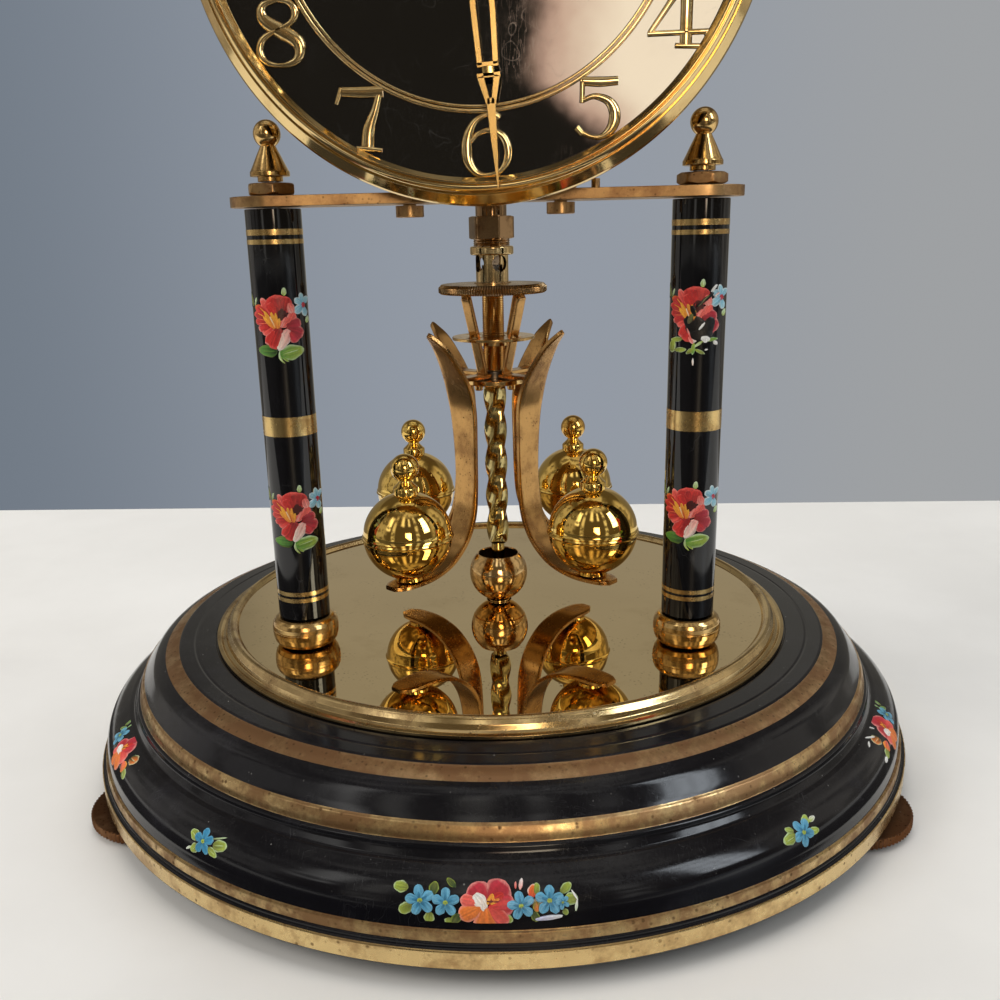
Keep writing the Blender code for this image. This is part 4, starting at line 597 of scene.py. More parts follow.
OVOLO = smooth([(93.3, 8.0), (93.1, 9.6), (92.2, 11.8), (90.4, 13.7), (87.8, 15.0)], 22)
CYMA = smooth([(84.15, 20.6), (83.5, 21.4), (82.5, 22.8), (81.5, 24.1), (80.3, 24.9), (79.1, 25.35)], 14)
INNER = [(67.8, 26.7), (56.0, 26.7), (56.0, 25.5), (74.6, 25.1), (79.0, 23.8), (82.6, 19.4), (85.7, 14.0),
         (92.5, 5.4), (92.7, 0.0)]


def base_profile():
    """The stepped outline from the rim up to the ledge, and back down inside, with a look for each stretch:
    0 black, 1 rim gold, 2 band gold, 3 inside, 4 the coppery top band."""
    parts = [([(95.0, 0.0), (95.0, 3.55), (94.3, 3.7)], [1, 0, 0]),
             ([(94.25, 4.4), (94.0, 4.5), (93.85, 6.4), (93.45, 6.5)], [0, 2, 2, 0]),
             (OVOLO, [0] * len(OVOLO)),
             ([(86.9, 15.15), (86.1, 16.4), (85.9, 17.35), (85.35, 17.55)], [0, 0, 0, 2]),
             (smooth([(85.25, 17.7), (85.05, 19.0), (84.5, 20.35)], 6), [2] * 6),
             (CYMA, [0] * (len(CYMA) - 1) + [4]),
             (smooth([(78.9, 25.45), (77.6, 26.15), (76.1, 26.7)], 6), [4] * 5 + [0]),
             ([(75.6, 27.0), (72.6, 27.0), (72.3, 26.88), (71.9, 27.0), (67.8, 27.0)], [0] * 5),
             (INNER, [0] + [3] * (len(INNER) - 1))]
    corners = np.concatenate([np.asarray(points, float) for points, looks in parts])
    looks = np.concatenate([np.asarray(looks, int) for points, looks in parts])
    return softened(corners, 0.25, 3, looks)


# The levelling screws' circle, bearings and knurled discs
FOOT_CIRCLE = 84.0
FOOT_BEARINGS = {"rear": 90, "left": 210, "right": 330}
FOOT_DISC_RADIUS, FOOT_RIDGES = 14.5, 88


def on_foot_circle(shape, azimuth):
    """A shape moved out to the levelling screws' circle."""
    return shifted(shape, FOOT_CIRCLE * cos(radians(azimuth)), FOOT_CIRCLE * sin(radians(azimuth)))


def build_base():
    outline, looks = base_profile()
    shapes = [turned(outline, 256, looks)]
    for azimuth in FOOT_BEARINGS.values():
        shapes.append(on_foot_circle(drum(2.3, 4.2, 2.0, 13.0, 0.4, 32, 3), azimuth))
    piece("base_shell_enamelled", "frame", [BASE_ENAMEL, RIM_GILT, BAND_GILT, UNDER_BLACK, BAND_COPPER],
          shapes, ["base_shell"])
    for side, azimuth in FOOT_BEARINGS.items():
        ridges = knurled(FOOT_RIDGES, 0.38, FOOT_DISC_RADIUS)
        stem = profile_of([(0, -4.2), (2.5, -4.2), (6.0, -2.7), (6.0, -2.6), (0, -2.6)], 0.3)
        shapes = [drum(0, FOOT_DISC_RADIUS, -3.2, -1.2, 0.3, FOOT_RIDGES * 6, 0, ridges), turned(stem, 48),
                  drum(0, 2.0, -1.7, 11.5, 0.3, 32)]
        shapes = [on_foot_circle(item, azimuth) for item in shapes]
        piece("levelling_foot_" + side, "foot_" + side, [FOOT_RUST], shapes, ["levelling_screw_" + side])


def build_plate():
    corners = [(3.0, 27.0), (67.4, 27.0), (67.4, 27.75), (66.6, 27.9), (66.0, 27.55), (65.4, 27.9),
               (65.1, 28.9)]
    bead = arc((63.75, 29.35), 0.85, 20, 160, 9)
    top = [(62.75, 29.35), (62.6, 29.05), (62.45, 29.2), (3.0, 29.2)]
    outline = np.concatenate([np.asarray(corners, float), bead, np.asarray(top, float)])
    looks = [1] * (len(corners) + len(bead) + 2) + [0, 1]
    outline, looks = softened(outline, 0.08, 3, looks)
    piece("base_plate_polished", "frame", [PLATE_MIRROR, PLATE_EDGE], turned(outline, 256, looks),
          ["base_plate"])


def build_cup():
    """Two halves of a hollow globe on a stem, with a fine groove where they screw together."""
    low, middle, radius = 29.5, 36.25, 7.0
    lower = arc((0, middle), radius, -74.6, -29.3, 16)
    groove = [(5.86, 32.92), (5.86, 33.08)]
    upper = arc((0, middle), radius, -26.6, 42.4, 28)
    inside = smooth([(4.72, 40.95), (5.25, 39.9), (5.6, 38.3), (5.6, 36.3), (5.2, 34.4), (4.3, 32.9),
                     (3.4, 32.2)], 20)
    outline = np.concatenate([[(0, 27.0), (2.7, 27.0), (2.7, low)], lower, groove, upper,
                              [(5.06, 41.16), (4.86, 41.2), (4.76, 41.12)], inside, [(0, 32.2)]])
    looks = [0] * (len(outline) - len(inside) - 1) + [1] * (len(inside) + 1)
    piece("locking_cup_turned", "frame", [CUP_GOLD, CUP_INSIDE], turned(outline, 96, looks), ["locking_cup"])


# Pillars, platform and what stands on it

STRIPES = ((40.25, 41.15), (41.7, 42.6), (76.5, 80.5), (114.5, 115.4), (116.2, 117.3))
PILLAR_RADIUS = 5.52
SCREW_X = 14.75


def striped_pillar():
    """The enamelled tube's outline, a little proud and gilt along each stripe."""
    points, looks = [(2.0, 36.2), (5.4, 36.2), (PILLAR_RADIUS, 36.35)], [0, 0, 0]
    for low, high in STRIPES:
        proud = PILLAR_RADIUS + 0.04
        points += [(PILLAR_RADIUS, low), (proud, low), (proud, high), (PILLAR_RADIUS, high)]
        looks += [1, 1, 1, 0]
    points += [(PILLAR_RADIUS, 120.95), (5.4, 121.1), (2.0, 121.1)]
    return turned(points, 96, looks + [0, 0, 0])


def build_pillars():
    foot = [(2.0, 29.5), (5.7, 29.5), (6.3, 29.75), (6.85, 30.6), (7.12, 31.7), (7.2, 32.7), (7.2, 33.05),
            (7.06, 33.15), (7.19, 33.25), (7.1, 34.2), (6.8, 35.0), (6.3, 35.6), (5.8, 35.85), (2.0, 35.9)]
    finial = np.concatenate([
        [(2.0, 126.2), (2.45, 126.2), (2.45, 127.1), (3.85, 127.15), (3.85, 128.0)],
        smooth([(3.7, 128.2), (3.1, 129.4), (2.45, 130.8), (1.8, 132.1), (1.5, 132.75)], 12),
        arc((0, 134.95), 2.65, -56, 90, 22), [(0, 129.3), (2.0, 129.3)]])
    for side, name, look in ((-1, "left", TURNED_BRASSES[0]), (1, "right", TURNED_BRASSES[1])):
        x = side * PILLAR_X
        piece("pillar_%s_enamelled" % name, "frame", [PILLAR_ENAMEL, STRIPE_GILT],
              shifted(striped_pillar(), x, PILLAR_Y), ["pillar_" + name])
        piece("pillar_foot_%s_turned" % name, "frame", [look],
              shifted(turned(softened(foot, 0.12, 4), 96), x, PILLAR_Y), ["pillar_foot_" + name])
        piece("finial_%s_turned" % name, "frame", [look],
              shifted(turned(softened(finial, 0.12, 3), 64), x, PILLAR_Y), ["finial_" + name])
        piece("hex_nut_%s_cut" % name, "frame", [SATIN_BRASS],
              shifted(hexagonal(4.95, 123.7, 125.9, 2.0, 0.45, 18.0), x, PILLAR_Y), ["hex_nut_" + name])
        # The screws come up from below, so their heads are turned over
        points, faces, looks, colours = screw_head(2.75, 0, 2.2)
        head = (points * np.array([1, 1, -1]), faces[:, ::-1], looks, colours)
        screw = [shifted(item, side * SCREW_X, PILLAR_Y, 121.1)
                 for item in (head, drum(0, 1.25, 0, 5.2, 0.1, 24))]
        piece("platform_screw_%s_slotted" % name, "frame", [SATIN_BRASS], screw, ["platform_screw_" + name])


def build_platform():
    """The CAD platform's own mesh with its flat facets joined and its edges rounded."""
    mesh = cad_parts["platform"].data.copy()
    bm = bmesh.new()
    bm.from_mesh(mesh)
    bmesh.ops.remove_doubles(bm, verts=bm.verts, dist=0.00001)
    bmesh.ops.dissolve_limit(bm, angle_limit=radians(1), verts=bm.verts, edges=bm.edges)
    bm.to_mesh(mesh)
    bm.free()
    mesh.materials.clear()
    mesh.materials.append(SATIN_BRASS)
    mesh.shade_smooth()
    mesh.set_sharp_from_angle(angle=radians(34))
    made = placed("platform_rounded", mesh)
    rounding = made.modifiers.new("rounding", "BEVEL")
    rounding.width = 0.12 * MM
    rounding.segments = 2
    rounding.limit_method = "ANGLE"
    rounding.angle_limit = radians(40)
    rounding.harden_normals = True
    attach(made, "frame")
    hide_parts("platform")


# Dial, bezel, hands and numerals

RIDGE = np.array([(-1, 0), (-0.82, 0.62), (-0.3, 0.95), (0.3, 0.95), (0.82, 0.62), (1, 0), (0.9, -0.25),
                  (-0.9, -0.25)])
BAR = np.array([(-1, -0.8), (-0.9, -1), (0.9, -1), (1, -0.8), (1, 0.8), (0.9, 1), (-0.9, 1), (-1, 0.8)])


def stroke(path, widths, low, rise, count, curved, section=RIDGE):
    """A raised stroke on the dial: a ridge carried along a smooth path, with its width going through the
    given values at even steps."""
    line = smooth(path, count) if curved else np.stack([resampled(side, count) for side in zip(*path)], -1)
    flow = np.gradient(line, axis=0)
    flow /= np.linalg.norm(flow, axis=1)[:, None] + 1e-9
    path3 = np.concatenate([line, np.full((count, 1), low)], 1)
    across = np.stack([-flow[:, 1], flow[:, 0], 0 * flow[:, 0]], -1)
    up = np.tile([0.0, 0.0, 1.0], (count, 1))
    return carried(path3, across, up, section, resampled(widths, count) / 2, rise)


# Each numeral is strokes of points and widths in millimetres from its own middle, about 11 tall
NUMERALS = {
    "1": [([(-1.8, 3.3), (-0.4, 4.2), (0.5, 5.2)], [0.6, 1.1, 1.5]),
          ([(0.5, 5.3), (0.5, 0), (0.5, -5)], [2.1, 2.0, 2.2]), ([(-1.5, -5.1), (2.6, -5.2)], [0.9, 0.9])],
    "2": [([(-2.6, 2.6), (-2.4, 4.2), (-0.6, 5.0), (1.6, 4.4), (2.5, 2.8), (1.5, 0.6),
            (-0.9, -2.4), (-2.6, -4.5)],
           [1.4, 1.0, 0.9, 1.6, 2.1, 1.8, 1.1, 0.9]), ([(-2.9, -4.6), (2.5, -4.6)], [1.5, 1.5]),
          ([(2.5, -4.7), (3.1, -3.2)], [1.1, 0.8])],
    "3": [([(-2.6, 3.3), (-1.4, 4.8), (0.8, 5.0), (2.1, 3.5), (1.6, 1.6), (-0.2, 0.6)],
           [1.2, 0.9, 1.2, 1.9, 1.6, 0.9]),
          ([(-0.4, 0.5), (1.8, 0.0), (2.7, -2.0), (1.6, -4.4), (-0.8, -5.0), (-2.9, -3.7)],
           [0.9, 1.5, 2.1, 1.7, 0.9, 1.3])],
    "4": [([(0.4, 5.0), (-2.2, 1.2), (-5.2, -2.9)], [1.7, 1.1, 0.9]),
          ([(-5.6, -3.15), (5.4, -3.0)], [0.95, 0.95]),
          ([(0.9, 5.2), (0.9, 0), (0.9, -5.0)], [2.2, 2.1, 2.1]),
          ([(-0.9, -5.1), (3.7, -5.3)], [0.9, 0.9]), ([(4.3, -3.2), (4.9, -5.0)], [0.9, 0.7])],
    "5": [([(-3.0, 4.4), (0.2, 4.2), (3.4, 4.3)], [1.5, 1.7, 1.5]), ([(-2.7, 4.6), (-2.8, 0.9)], [0.95, 0.9]),
          ([(-2.6, 1.3), (-0.7, 1.9), (1.6, 1.2), (2.75, -0.3), (2.85, -2.1), (2.1, -3.7), (0.6, -4.7),
            (-1.0, -4.7), (-2.7, -4.0)], [0.8, 1.0, 1.5, 2.0, 2.1, 1.7, 1.0, 0.8, 0.9]),
          ([(-3.7, -3.1), (-2.7, -4.2)], [1.3, 1.1])],
    "6": [([(1.9, 4.6), (0.3, 4.8), (-1.8, 3.7), (-3.0, 1.6), (-3.35, -0.8), (-3.0, -3.2), (-1.6, -4.9),
            (0.3, -5.2), (2.5, -4.6), (3.8, -2.8), (3.95, -0.8), (3.3, 0.9), (2.0, 1.9), (0.4, 2.2),
            (-1.4, 1.6), (-2.5, 0.4)],
           [1.0, 0.8, 1.2, 1.8, 2.1, 1.9, 1.3, 0.8, 1.0, 1.5, 1.6, 1.5, 1.3, 1.1, 0.9, 0.8]),
          ([(1.5, 5.0), (2.6, 4.2)], [1.4, 1.1])],
    "7": [([(-2.9, 4.3), (0.8, 4.15), (4.3, 4.2)], [1.7, 2.0, 2.0]), ([(-3.0, 4.9), (-4.0, 2.3)], [1.0, 0.8]),
          ([(3.6, 3.6), (2.8, 1.2), (1.5, -2.0), (1.1, -4.8)], [1.2, 1.5, 2.2, 2.4]),
          ([(-0.8, -5.0), (1.5, -5.2), (3.7, -5.5)], [0.8, 1.0, 0.8])],
    "8": [([(-0.2, 5.05), (-2.5, 4.5), (-3.2, 3.2), (-2.4, 1.7), (0.2, 0.2), (2.6, -1.3), (3.2, -2.9),
            (2.3, -4.6), (-0.2, -5.25), (-2.8, -4.7), (-3.9, -3.0), (-3.2, -1.0), (-0.8, 0.3), (1.9, 1.5),
            (2.8, 3.1), (1.9, 4.6), (-0.2, 5.05)],
           [0.7, 1.3, 1.8, 2.3, 2.5, 2.4, 2.1, 1.5, 0.8, 1.1, 1.5, 1.3, 0.8, 1.0, 1.6, 1.1, 0.7])],
    "0": [([(0, 5.1), (-2.3, 4.0), (-3.2, 0), (-2.3, -4.0), (0, -5.1), (2.3, -4.0), (3.2, 0),
            (2.3, 4.0), (0, 5.1)],
           [0.9, 1.6, 2.2, 1.6, 0.9, 1.6, 2.2, 1.6, 0.9])],
}
# A nine is a six turned half round
NUMERALS["9"] = [([(-x, -y) for x, y in points], widths) for points, widths in NUMERALS["6"]]
NUMERAL_RING = 40.3
# The printed plate sits a little turned, and each of these five stands a little off its even place
STRAYS = {4: (34.88, -20.2), 5: (20.93, -34.82), 6: (1.15, -40.19), 7: (-20.98, -35.31), 8: (-33.97, -21.2)}
DIAL_FACE = 26.65
DIGIT_STEP = 5.9


def build_dial():
    piece("dial_black_disc", "frame", [DIAL_BLACK], facing(drum(3.2, 46.5, 25.65, DIAL_FACE, 0.05, 192)),
          ["dial"])
    rings = []
    for radius, half, rise in ((33.95, 0.28, 0.30), (34.75, 0.42, 0.42)):
        ridge = np.array([(radius + half * a, DIAL_FACE + rise * b) for a, b in RIDGE])
        rings.append(facing(turned(ridge, 192)))
    piece("dial_gilt_rings", "frame", [NUMERAL_GILT], rings, (), 60)
    strokes = []
    for hour in range(1, 13):
        at = radians(90.8 - 30 * hour)
        x, y = STRAYS.get(hour, (NUMERAL_RING * cos(at), NUMERAL_RING * sin(at)))
        digits = str(hour)
        size = 0.82 if len(digits) == 2 else 1.0 if hour in STRAYS else 0.96
        for index, digit in enumerate(digits):
            aside = (index - (len(digits) - 1) / 2) * DIGIT_STEP
            for path, widths in NUMERALS[digit]:
                line = [(x + aside + size * a, y + size * b) for a, b in path]
                curved = len(path) > 2
                strokes.append(facing(stroke(line, [size * w for w in widths], DIAL_FACE, 0.6,
                                             48 if curved else 6, curved)))
    piece("dial_numerals", "frame", [NUMERAL_GILT], strokes, (), 60)


def build_bezel():
    outline = np.concatenate([[(50.6, 21.7), (50.6, 24.2), (50.3, 25.0), (48.75, 26.9), (48.55, 26.75)],
                              smooth([(48.45, 26.9), (48.2, 27.9), (47.6, 28.5), (47.25, 28.45)], 10),
                              [(47.2, 28.3), (47.05, 28.4), (46.95, 28.7), (46.75, 28.7), (46.65, 28.4),
                               (46.55, 28.3), (45.75, 27.3), (45.7, 26.75), (46.9, 26.75), (47.4, 26.2),
                               (49.6, 24.3), (49.9, 23.6), (49.9, 21.7)]])
    piece("bezel_turned", "frame", [BEZEL_GOLD], facing(turned(softened(outline, 0.1, 3), 256)), ["bezel"])


def bar(points, widths, low, thickness):
    """A flat strip of a hand through points, with a rounded edge."""
    return stroke(points, widths, low + thickness / 2, thickness / 2, 3 * len(points), False, BAR)


def hand(scale, low, thickness, boss, pipe):
    """Open rails out to a crossbar, a block, a shoulder, a V of two strips and a thin lance, drawn pointing
    up."""
    s = scale
    rows = [([(0, 28.2 * s), (0, 29.8 * s)], [2.0 * s] * 2),
            ([(-1.8 * s, 27.95 * s), (1.8 * s, 27.95 * s)], [0.75 * s] * 2),
            ([(-1.97 * s, 29.65 * s), (1.97 * s, 29.65 * s)], [0.75 * s] * 2),
            ([(0, 33.3 * s), (0, 35.2 * s), (0, 41.6 * s), (0, 48.0 * s)],
             [1.3 * s, 1.5 * s, 0.9 * s, 0.2 * s])]
    for side in (-1, 1):
        rows.append(([(side * 1.7, 2.2), (side * 1.5 * s + side * 0.1, 20.0 * s),
                      (side * 1.34 * s, 28.0 * s)], [0.95, 0.95, 0.9]))
        rows.append(([(side * 1.4 * s, 29.8 * s), (side * 0.42 * s, 34.2 * s)], [1.1 * s, 0.8 * s]))
        rows.append(([(side * 1.6, -2.6), (side * 0.15, -6.3)], [0.8, 0.8]))
    ring = drum(pipe, boss, low, low + thickness, 0.06, 48)
    return [ring] + [bar(points, widths, low, thickness) for points, widths in rows]


MINUTE_SPIN = 184.1
HOUR_SPIN = 360.0 - (360.0 * 10 + 360.0 - MINUTE_SPIN) / 12


def build_hands():
    minute = [facing(shifted(item, spin=MINUTE_SPIN)) for item in hand(1.0, 30.6, 0.5, 3.0, 1.2)]
    piece("minute_hand_pierced", "minute", [HAND_GILT], minute, ["minute_hand"])
    hour = [facing(shifted(item, spin=HOUR_SPIN)) for item in hand(0.62, 29.0, 0.5, 3.2, 2.2)]
    piece("hour_hand_pierced", "hour", [HAND_GILT], hour, ["hour_hand"])
    nut = profile_of([(1.05, 31.2), (2.0, 31.2), (2.0, 31.7), (1.6, 32.0), (1.05, 32.0)], 0.12)
    piece("hand_nut_turned", "minute", [HAND_GILT], facing(turned(nut, 48, 0, knurled(24, 0.12, 2.0))),
          ["hand_nut"])


# Suspension guard, pendulum, regulator, ring, arms and balls

def build_guard():
    """Tube round the strip with a six-sided collar, a threaded neck and a stay to the back plate."""
    rows = np.linspace(114.35, 112.85, 31)
    thread = np.stack([4.1 - 0.16 * np.abs((rows / 0.46) % 1 - 0.5) * 2, rows], -1)
    neck = np.concatenate([thread, [(2.2, 112.85), (2.2, 114.35)]])
    path = np.array([(0, y, 126.3) for y in (-15.5, -11.0, -6.5, -2.6)])
    stay = carried(path, [(1, 0, 0)] * 4, [(0, 0, 1)] * 4, STRAP, 1.5, 1.5)
    tube = drum(2.2, GUARD_RADIUS, 118.5, 129.0, 0.1, 64)
    collar = hexagonal(5.2, 114.3, 119.2, 2.2, 0.25, 20.0)
    piece("suspension_guard_collared", "frame", [GUARD_BRONZE], [tube, collar, turned(neck, 64), stay],
          ["suspension_guard"])


CROSS_HOLES = np.radians([-57.5, 122.5, 212.5])
CROSS_HOLE_HEIGHT, CROSS_HOLE_RADIUS = 109.1, 1.82
DISC_RADIUS, DISC_RIDGES = 12.2, 130
# The first arm's bearing at rest, in degrees
FIRST_ARM = 45 + PENDULUM_REST


def build_pendulum():
    flange = profile_of([(2.6, 110.9), (4.6, 110.9), (4.85, 111.15), (4.85, 112.55), (4.6, 112.8),
                         (2.6, 112.8)], 0.15)
    tube = drilled_tube(3.65, 2.75, 105.1, 110.95)
    block = slab([[(-1.55, -1.55, 112.2), (1.55, -1.55, 112.2)],
                  [(-1.55, 1.55, 112.2), (1.55, 1.55, 112.2)]], 3.4)
    # The floor inside the tube and the bottom block on it are very dark steel as painted shade, so the tube
    # looks dark inside through its holes
    floor = turned(profile_of([(0, 105.1), (3.6, 105.1), (3.6, 106.1), (2.3, 106.2), (2.3, 108.7),
                               (0, 108.7)], 0.1), 48, 1)
    shapes = [turned(flange, 64), tube, floor]
    piece("pendulum_tube_drilled", "pendulum", [TUBE_BRASS, DARK_STEEL_AND_SHADE], shapes, ["pendulum_tube"])
    piece("suspension_bottom_block_cut", "pendulum", [DARK_STEEL_AND_SHADE], shifted(block, spin=PENDULUM_REST),
          ["suspension_bottom_block"])
    build_regulator()
    build_ring_and_hub()
    build_rod()
    for index in range(4):
        build_arm(index)


def build_regulator():
    """A finely knurled disc on a threaded sleeve, whose radius falls by a small saw at each turn of the
    thread."""
    disc = profile_of([(1.6, 102.6), (DISC_RADIUS - 0.5, 102.6), (DISC_RADIUS, 103.0), (DISC_RADIUS, 104.0),
                       (DISC_RADIUS - 0.7, 104.7), (4.4, 104.8),
                       (4.3, 104.65), (1.6, 104.65)], 0.1)
    rows = np.linspace(102.8, 85.5, 280)
    angle = bearings(40)
    wave = np.abs(((rows[:, None] / 0.5 + angle / (2 * pi)) % 1) - 0.5) * 2
    radius = np.concatenate([2.5 - 0.16 * wave, np.full((2, 40), 1.6)])
    heights = np.concatenate([rows, [85.5, 102.8]])
    sleeve = shaped(spun(radius, angle, heights[:, None]), quads(len(heights), 40, True), 1)
    piece("regulating_disc_knurled", "regulator", [DISC_BRONZE, SLEEVE_BRASS],
          [turned(disc, DISC_RIDGES * 6, 0, knurled(DISC_RIDGES, 0.36, DISC_RADIUS)), sleeve,
           drum(2.2, 4.1, 104.6, 105.05, 0.05, 48)],
          ["regulating_disc"])


def drilled_tube(outer, bore, low, high):
    """A tube with round holes across it: the wall's grid is spun and stacked, each point closer to a hole's
    axis than the hole's radius is moved straight away from it, and the faces left inside the hole go."""
    count, levels, edge = 128, 60, 64
    turn, height = np.meshgrid(bearings(count, CROSS_HOLES[0] - pi), np.linspace(low, high, levels))
    sheets, walls = [], []
    ring = bearings(edge)
    hole_height, hole_radius = CROSS_HOLE_HEIGHT, CROSS_HOLE_RADIUS
    for radius in (outer, bore):
        x, y, z = radius * np.cos(turn), radius * np.sin(turn), height.copy()
        inside = np.zeros(x.shape, bool)
        for bearing in CROSS_HOLES:
            c, s = cos(bearing), sin(bearing)
            side, depth, rise = y * c - x * s, x * c + y * s, z - hole_height
            off = np.hypot(side, rise) + 1e-9
            near = (depth > 0) & (off < hole_radius)
            scale = np.where(near, hole_radius / off, 1.0)
            side, rise = side * scale, rise * scale
            depth = np.where(near, np.sqrt(np.maximum(radius ** 2 - side ** 2, 0)), depth)
            x, y, z = depth * c - side * s, depth * s + side * c, hole_height + rise
            inside |= near
            side, rise = hole_radius * 1.002 * np.cos(ring), hole_radius * 1.002 * np.sin(ring)
            depth = np.sqrt(radius ** 2 - side ** 2)
            walls.append(np.stack([depth * c - side * s, depth * s + side * c, hole_height + rise], -1))
        sheets.append((np.stack([x, y, z], -1), inside))
    (out_points, out_in), (in_points, in_in) = sheets
    faces = quads(levels, count)
    total = levels * count
    kept = [faces[~out_in.ravel()[faces].all(1)], faces[:, ::-1][~in_in.ravel()[faces].all(1)] + total]
    points = [out_points.reshape(-1, 3), in_points.reshape(-1, 3)]
    holes = len(CROSS_HOLES)
    for index in range(holes):
        kept.append(quads(2, edge) + 2 * (total + edge * index))
        points += [walls[index], walls[holes + index]]
    on = (np.arange(count) + 1) % count
    for row in (0, levels - 1):
        start = row * count
        kept.append(np.stack([start + np.arange(count), start + on, start + on + total,
                              start + np.arange(count) + total], -1))
    return shaped(np.concatenate(points), np.concatenate(kept))


def sector(inner, outer, start, end, low, high, slot_half):
    """A block of a ring between two radii and two slot sides, whose angle at each radius leaves half a
    slot."""
    radius = np.linspace(inner, outer, 6)
    trim = np.arcsin(np.clip(slot_half / radius, 0, 1))
    t = np.linspace(0, 1, 16)[None, :]
    angle = (start + trim)[:, None] * (1 - t) + (end - trim)[:, None] * t
    return slab(spun(radius[:, None], angle, high), high - low)


def build_ring_and_hub():
    quarter = pi / 2
    first = radians(FIRST_ARM)
    shapes = [drum(2.75, 4.5, 92.4, 93.1, 0.1, 64), drum(7.8, 9.4, 92.4, 93.1, 0.15, 96),
              drum(2.75, 3.5, 91.0, 92.5, 0.12, 64)]
    shapes += [sector(4.4, 7.9, first + quarter * k, first + quarter * (k + 1), 92.4, 93.1, 1.2)
               for k in range(4)]
    piece("guide_ring_slotted", "ring", [STRAP_GOLD], shapes, ["guide_ring"])
    hub = [(0, 81.5), (2.2, 81.5), (2.2, 82.4), (6.9, 82.4), (7.15, 82.6), (7.15, 83.5), (6.9, 83.6),
           (0, 83.6)]
    shapes = [turned(profile_of(hub, 0.15), 72), drum(0, 1.3, 84.0, 104.0, 0.1, 24)]
    for k in range(4):
        at = first + quarter * k
        rivet = turned(profile_of([(0, 81.2), (0.7, 81.2), (0.95, 81.5), (0.95, 82.5), (0, 82.5)], 0.12), 20)
        shapes.append(shifted(rivet, 5.2 * cos(at), 5.2 * sin(at)))
    shapes.append(drum(1.2, 2.6, 83.5, 85.25, 0.2, 48, 1))
    piece("pendulum_hub_turned", "pendulum", [STRAP_GOLD, DARK_STEEL_AND_SHADE], shapes, ["pendulum_hub"])


def build_rod():
    """A square with round corners and bulging sides, turned a quarter for each lead along the height: at an
    angle the radius is half the side over the tenth root of the sum of the tenth powers of sine and
    cosine."""
    low, high, quarter_lead = 43.6, 82.2, 8.0
    rows = np.linspace(low, high, 190)
    count = 48
    angle = bearings(count)
    radius = 2.0 * (np.abs(np.cos(angle)) ** 10 + np.abs(np.sin(angle)) ** 10) ** -0.1
    twist = radians(PENDULUM_REST) + (rows - low) * (pi / 2) / quarter_lead
    ends = np.clip(np.minimum(rows - low, high - rows) / 0.8, 0, 1) ** 0.5
    size = (0.45 + 0.55 * ends)[:, None]
    points = spun(size * radius, angle + twist[:, None], rows[:, None])
    points = np.concatenate([0 * points[:1] + [0, 0, low], points, 0 * points[-1:] + [0, 0, high]])
    pin = profile_of([(0, 36.0), (1.1, 36.0), (1.55, 36.6), (1.55, 44.2), (0, 44.2)], 0.15)
    piece("twisted_rod_rounded", "pendulum", [ROD_BRASS],
          [shaped(points, quads(len(points), count)), turned(pin, 32)], ["twisted_rod"],
          sharp=50)


ARM_LINE = np.array([(0.59, 1), (0.496, 0.944), (0.417, 0.869), (0.357, 0.795), (0.319, 0.72),
                     (0.299, 0.646), (0.29, 0.534), (0.288, 0.422), (0.293, 0.338), (0.313, 0.235),
                     (0.362, 0.151), (0.44, 0.086), (0.56, 0.032), (0.73, 0.003), (0.92, 0), (1, 0)])
ARM_REACH, ARM_FLOOR, ARM_RISE = 34.5, 41.4, 53.6
BALL_CIRCLE = 28.8
ARM_WIDTHS = np.array([0.15, 0.56, 0.84, 1.05, 1.14, 1.1, 1.0, 0.95, 0.96, 1, 1, 1, 1, 1, 0.9, 0.45]) * 3.5
STRAP = softened([(-1, -1), (1, -1), (1, 1), (-1, 1)], [0.35] * 4, 4)


def upright(line, inwards=1):
    """Path, side and face directions for a strap whose line of radius and height lies in an upright plane."""
    flow = np.gradient(line, axis=0)
    flow /= np.linalg.norm(flow, axis=1)[:, None]
    path = np.stack([line[:, 0], 0 * line[:, 0], line[:, 1]], -1)
    face = np.stack([flow[:, 1], 0 * flow[:, 0], -flow[:, 0]], -1) * inwards
    return path, np.tile([0.0, 1.0, 0.0], (len(line), 1)), face


def build_arm(index):
    """A strap whose path lies in an upright plane through the axis, its lug on the hub, and its prong up to
    the disc with a bent tip that narrows."""
    bearing = FIRST_ARM + 90 * index
    number = index + 1
    line = smooth(ARM_LINE * [ARM_REACH, ARM_RISE] + [0, ARM_FLOOR], 120)
    wide = smooth(np.stack([ARM_WIDTHS, ARM_WIDTHS], -1), 120)[:, 0]
    wide[0] = 0.25
    shapes = [carried(*upright(line), STRAP, wide, 0.5)]
    lug = smooth([(2.95, 84.3), (5.0, 84.3), (8.4, 84.3), (10.8, 84.35), (12.0, 84.55), (12.3, 85.2)], 24)
    shapes.append(carried(*upright(lug, -1), STRAP, 1.75, 0.45))
    prong = smooth([(4.6, 84.4), (3.9, 84.9), (4.1, 86.0), (5.6, 91.5), (7.6, 98.5), (8.5, 101.6),
                    (9.1, 102.1)], 40)
    taper = np.interp(np.linspace(0, 1, 40), [0, 0.1, 0.85, 0.93, 1], [1.5, 1.4, 1.3, 0.9, 0.7])
    shapes.append(carried(*upright(prong), STRAP, taper, 0.42))
    piece("arm_%d_strap" % number, "weight_%d" % number, [STRAP_BRASS],
          [shifted(item, spin=bearing) for item in shapes], ["arm_%d" % number])
    build_ball(number, BALL_CIRCLE * cos(radians(bearing)), BALL_CIRCLE * sin(radians(bearing)))


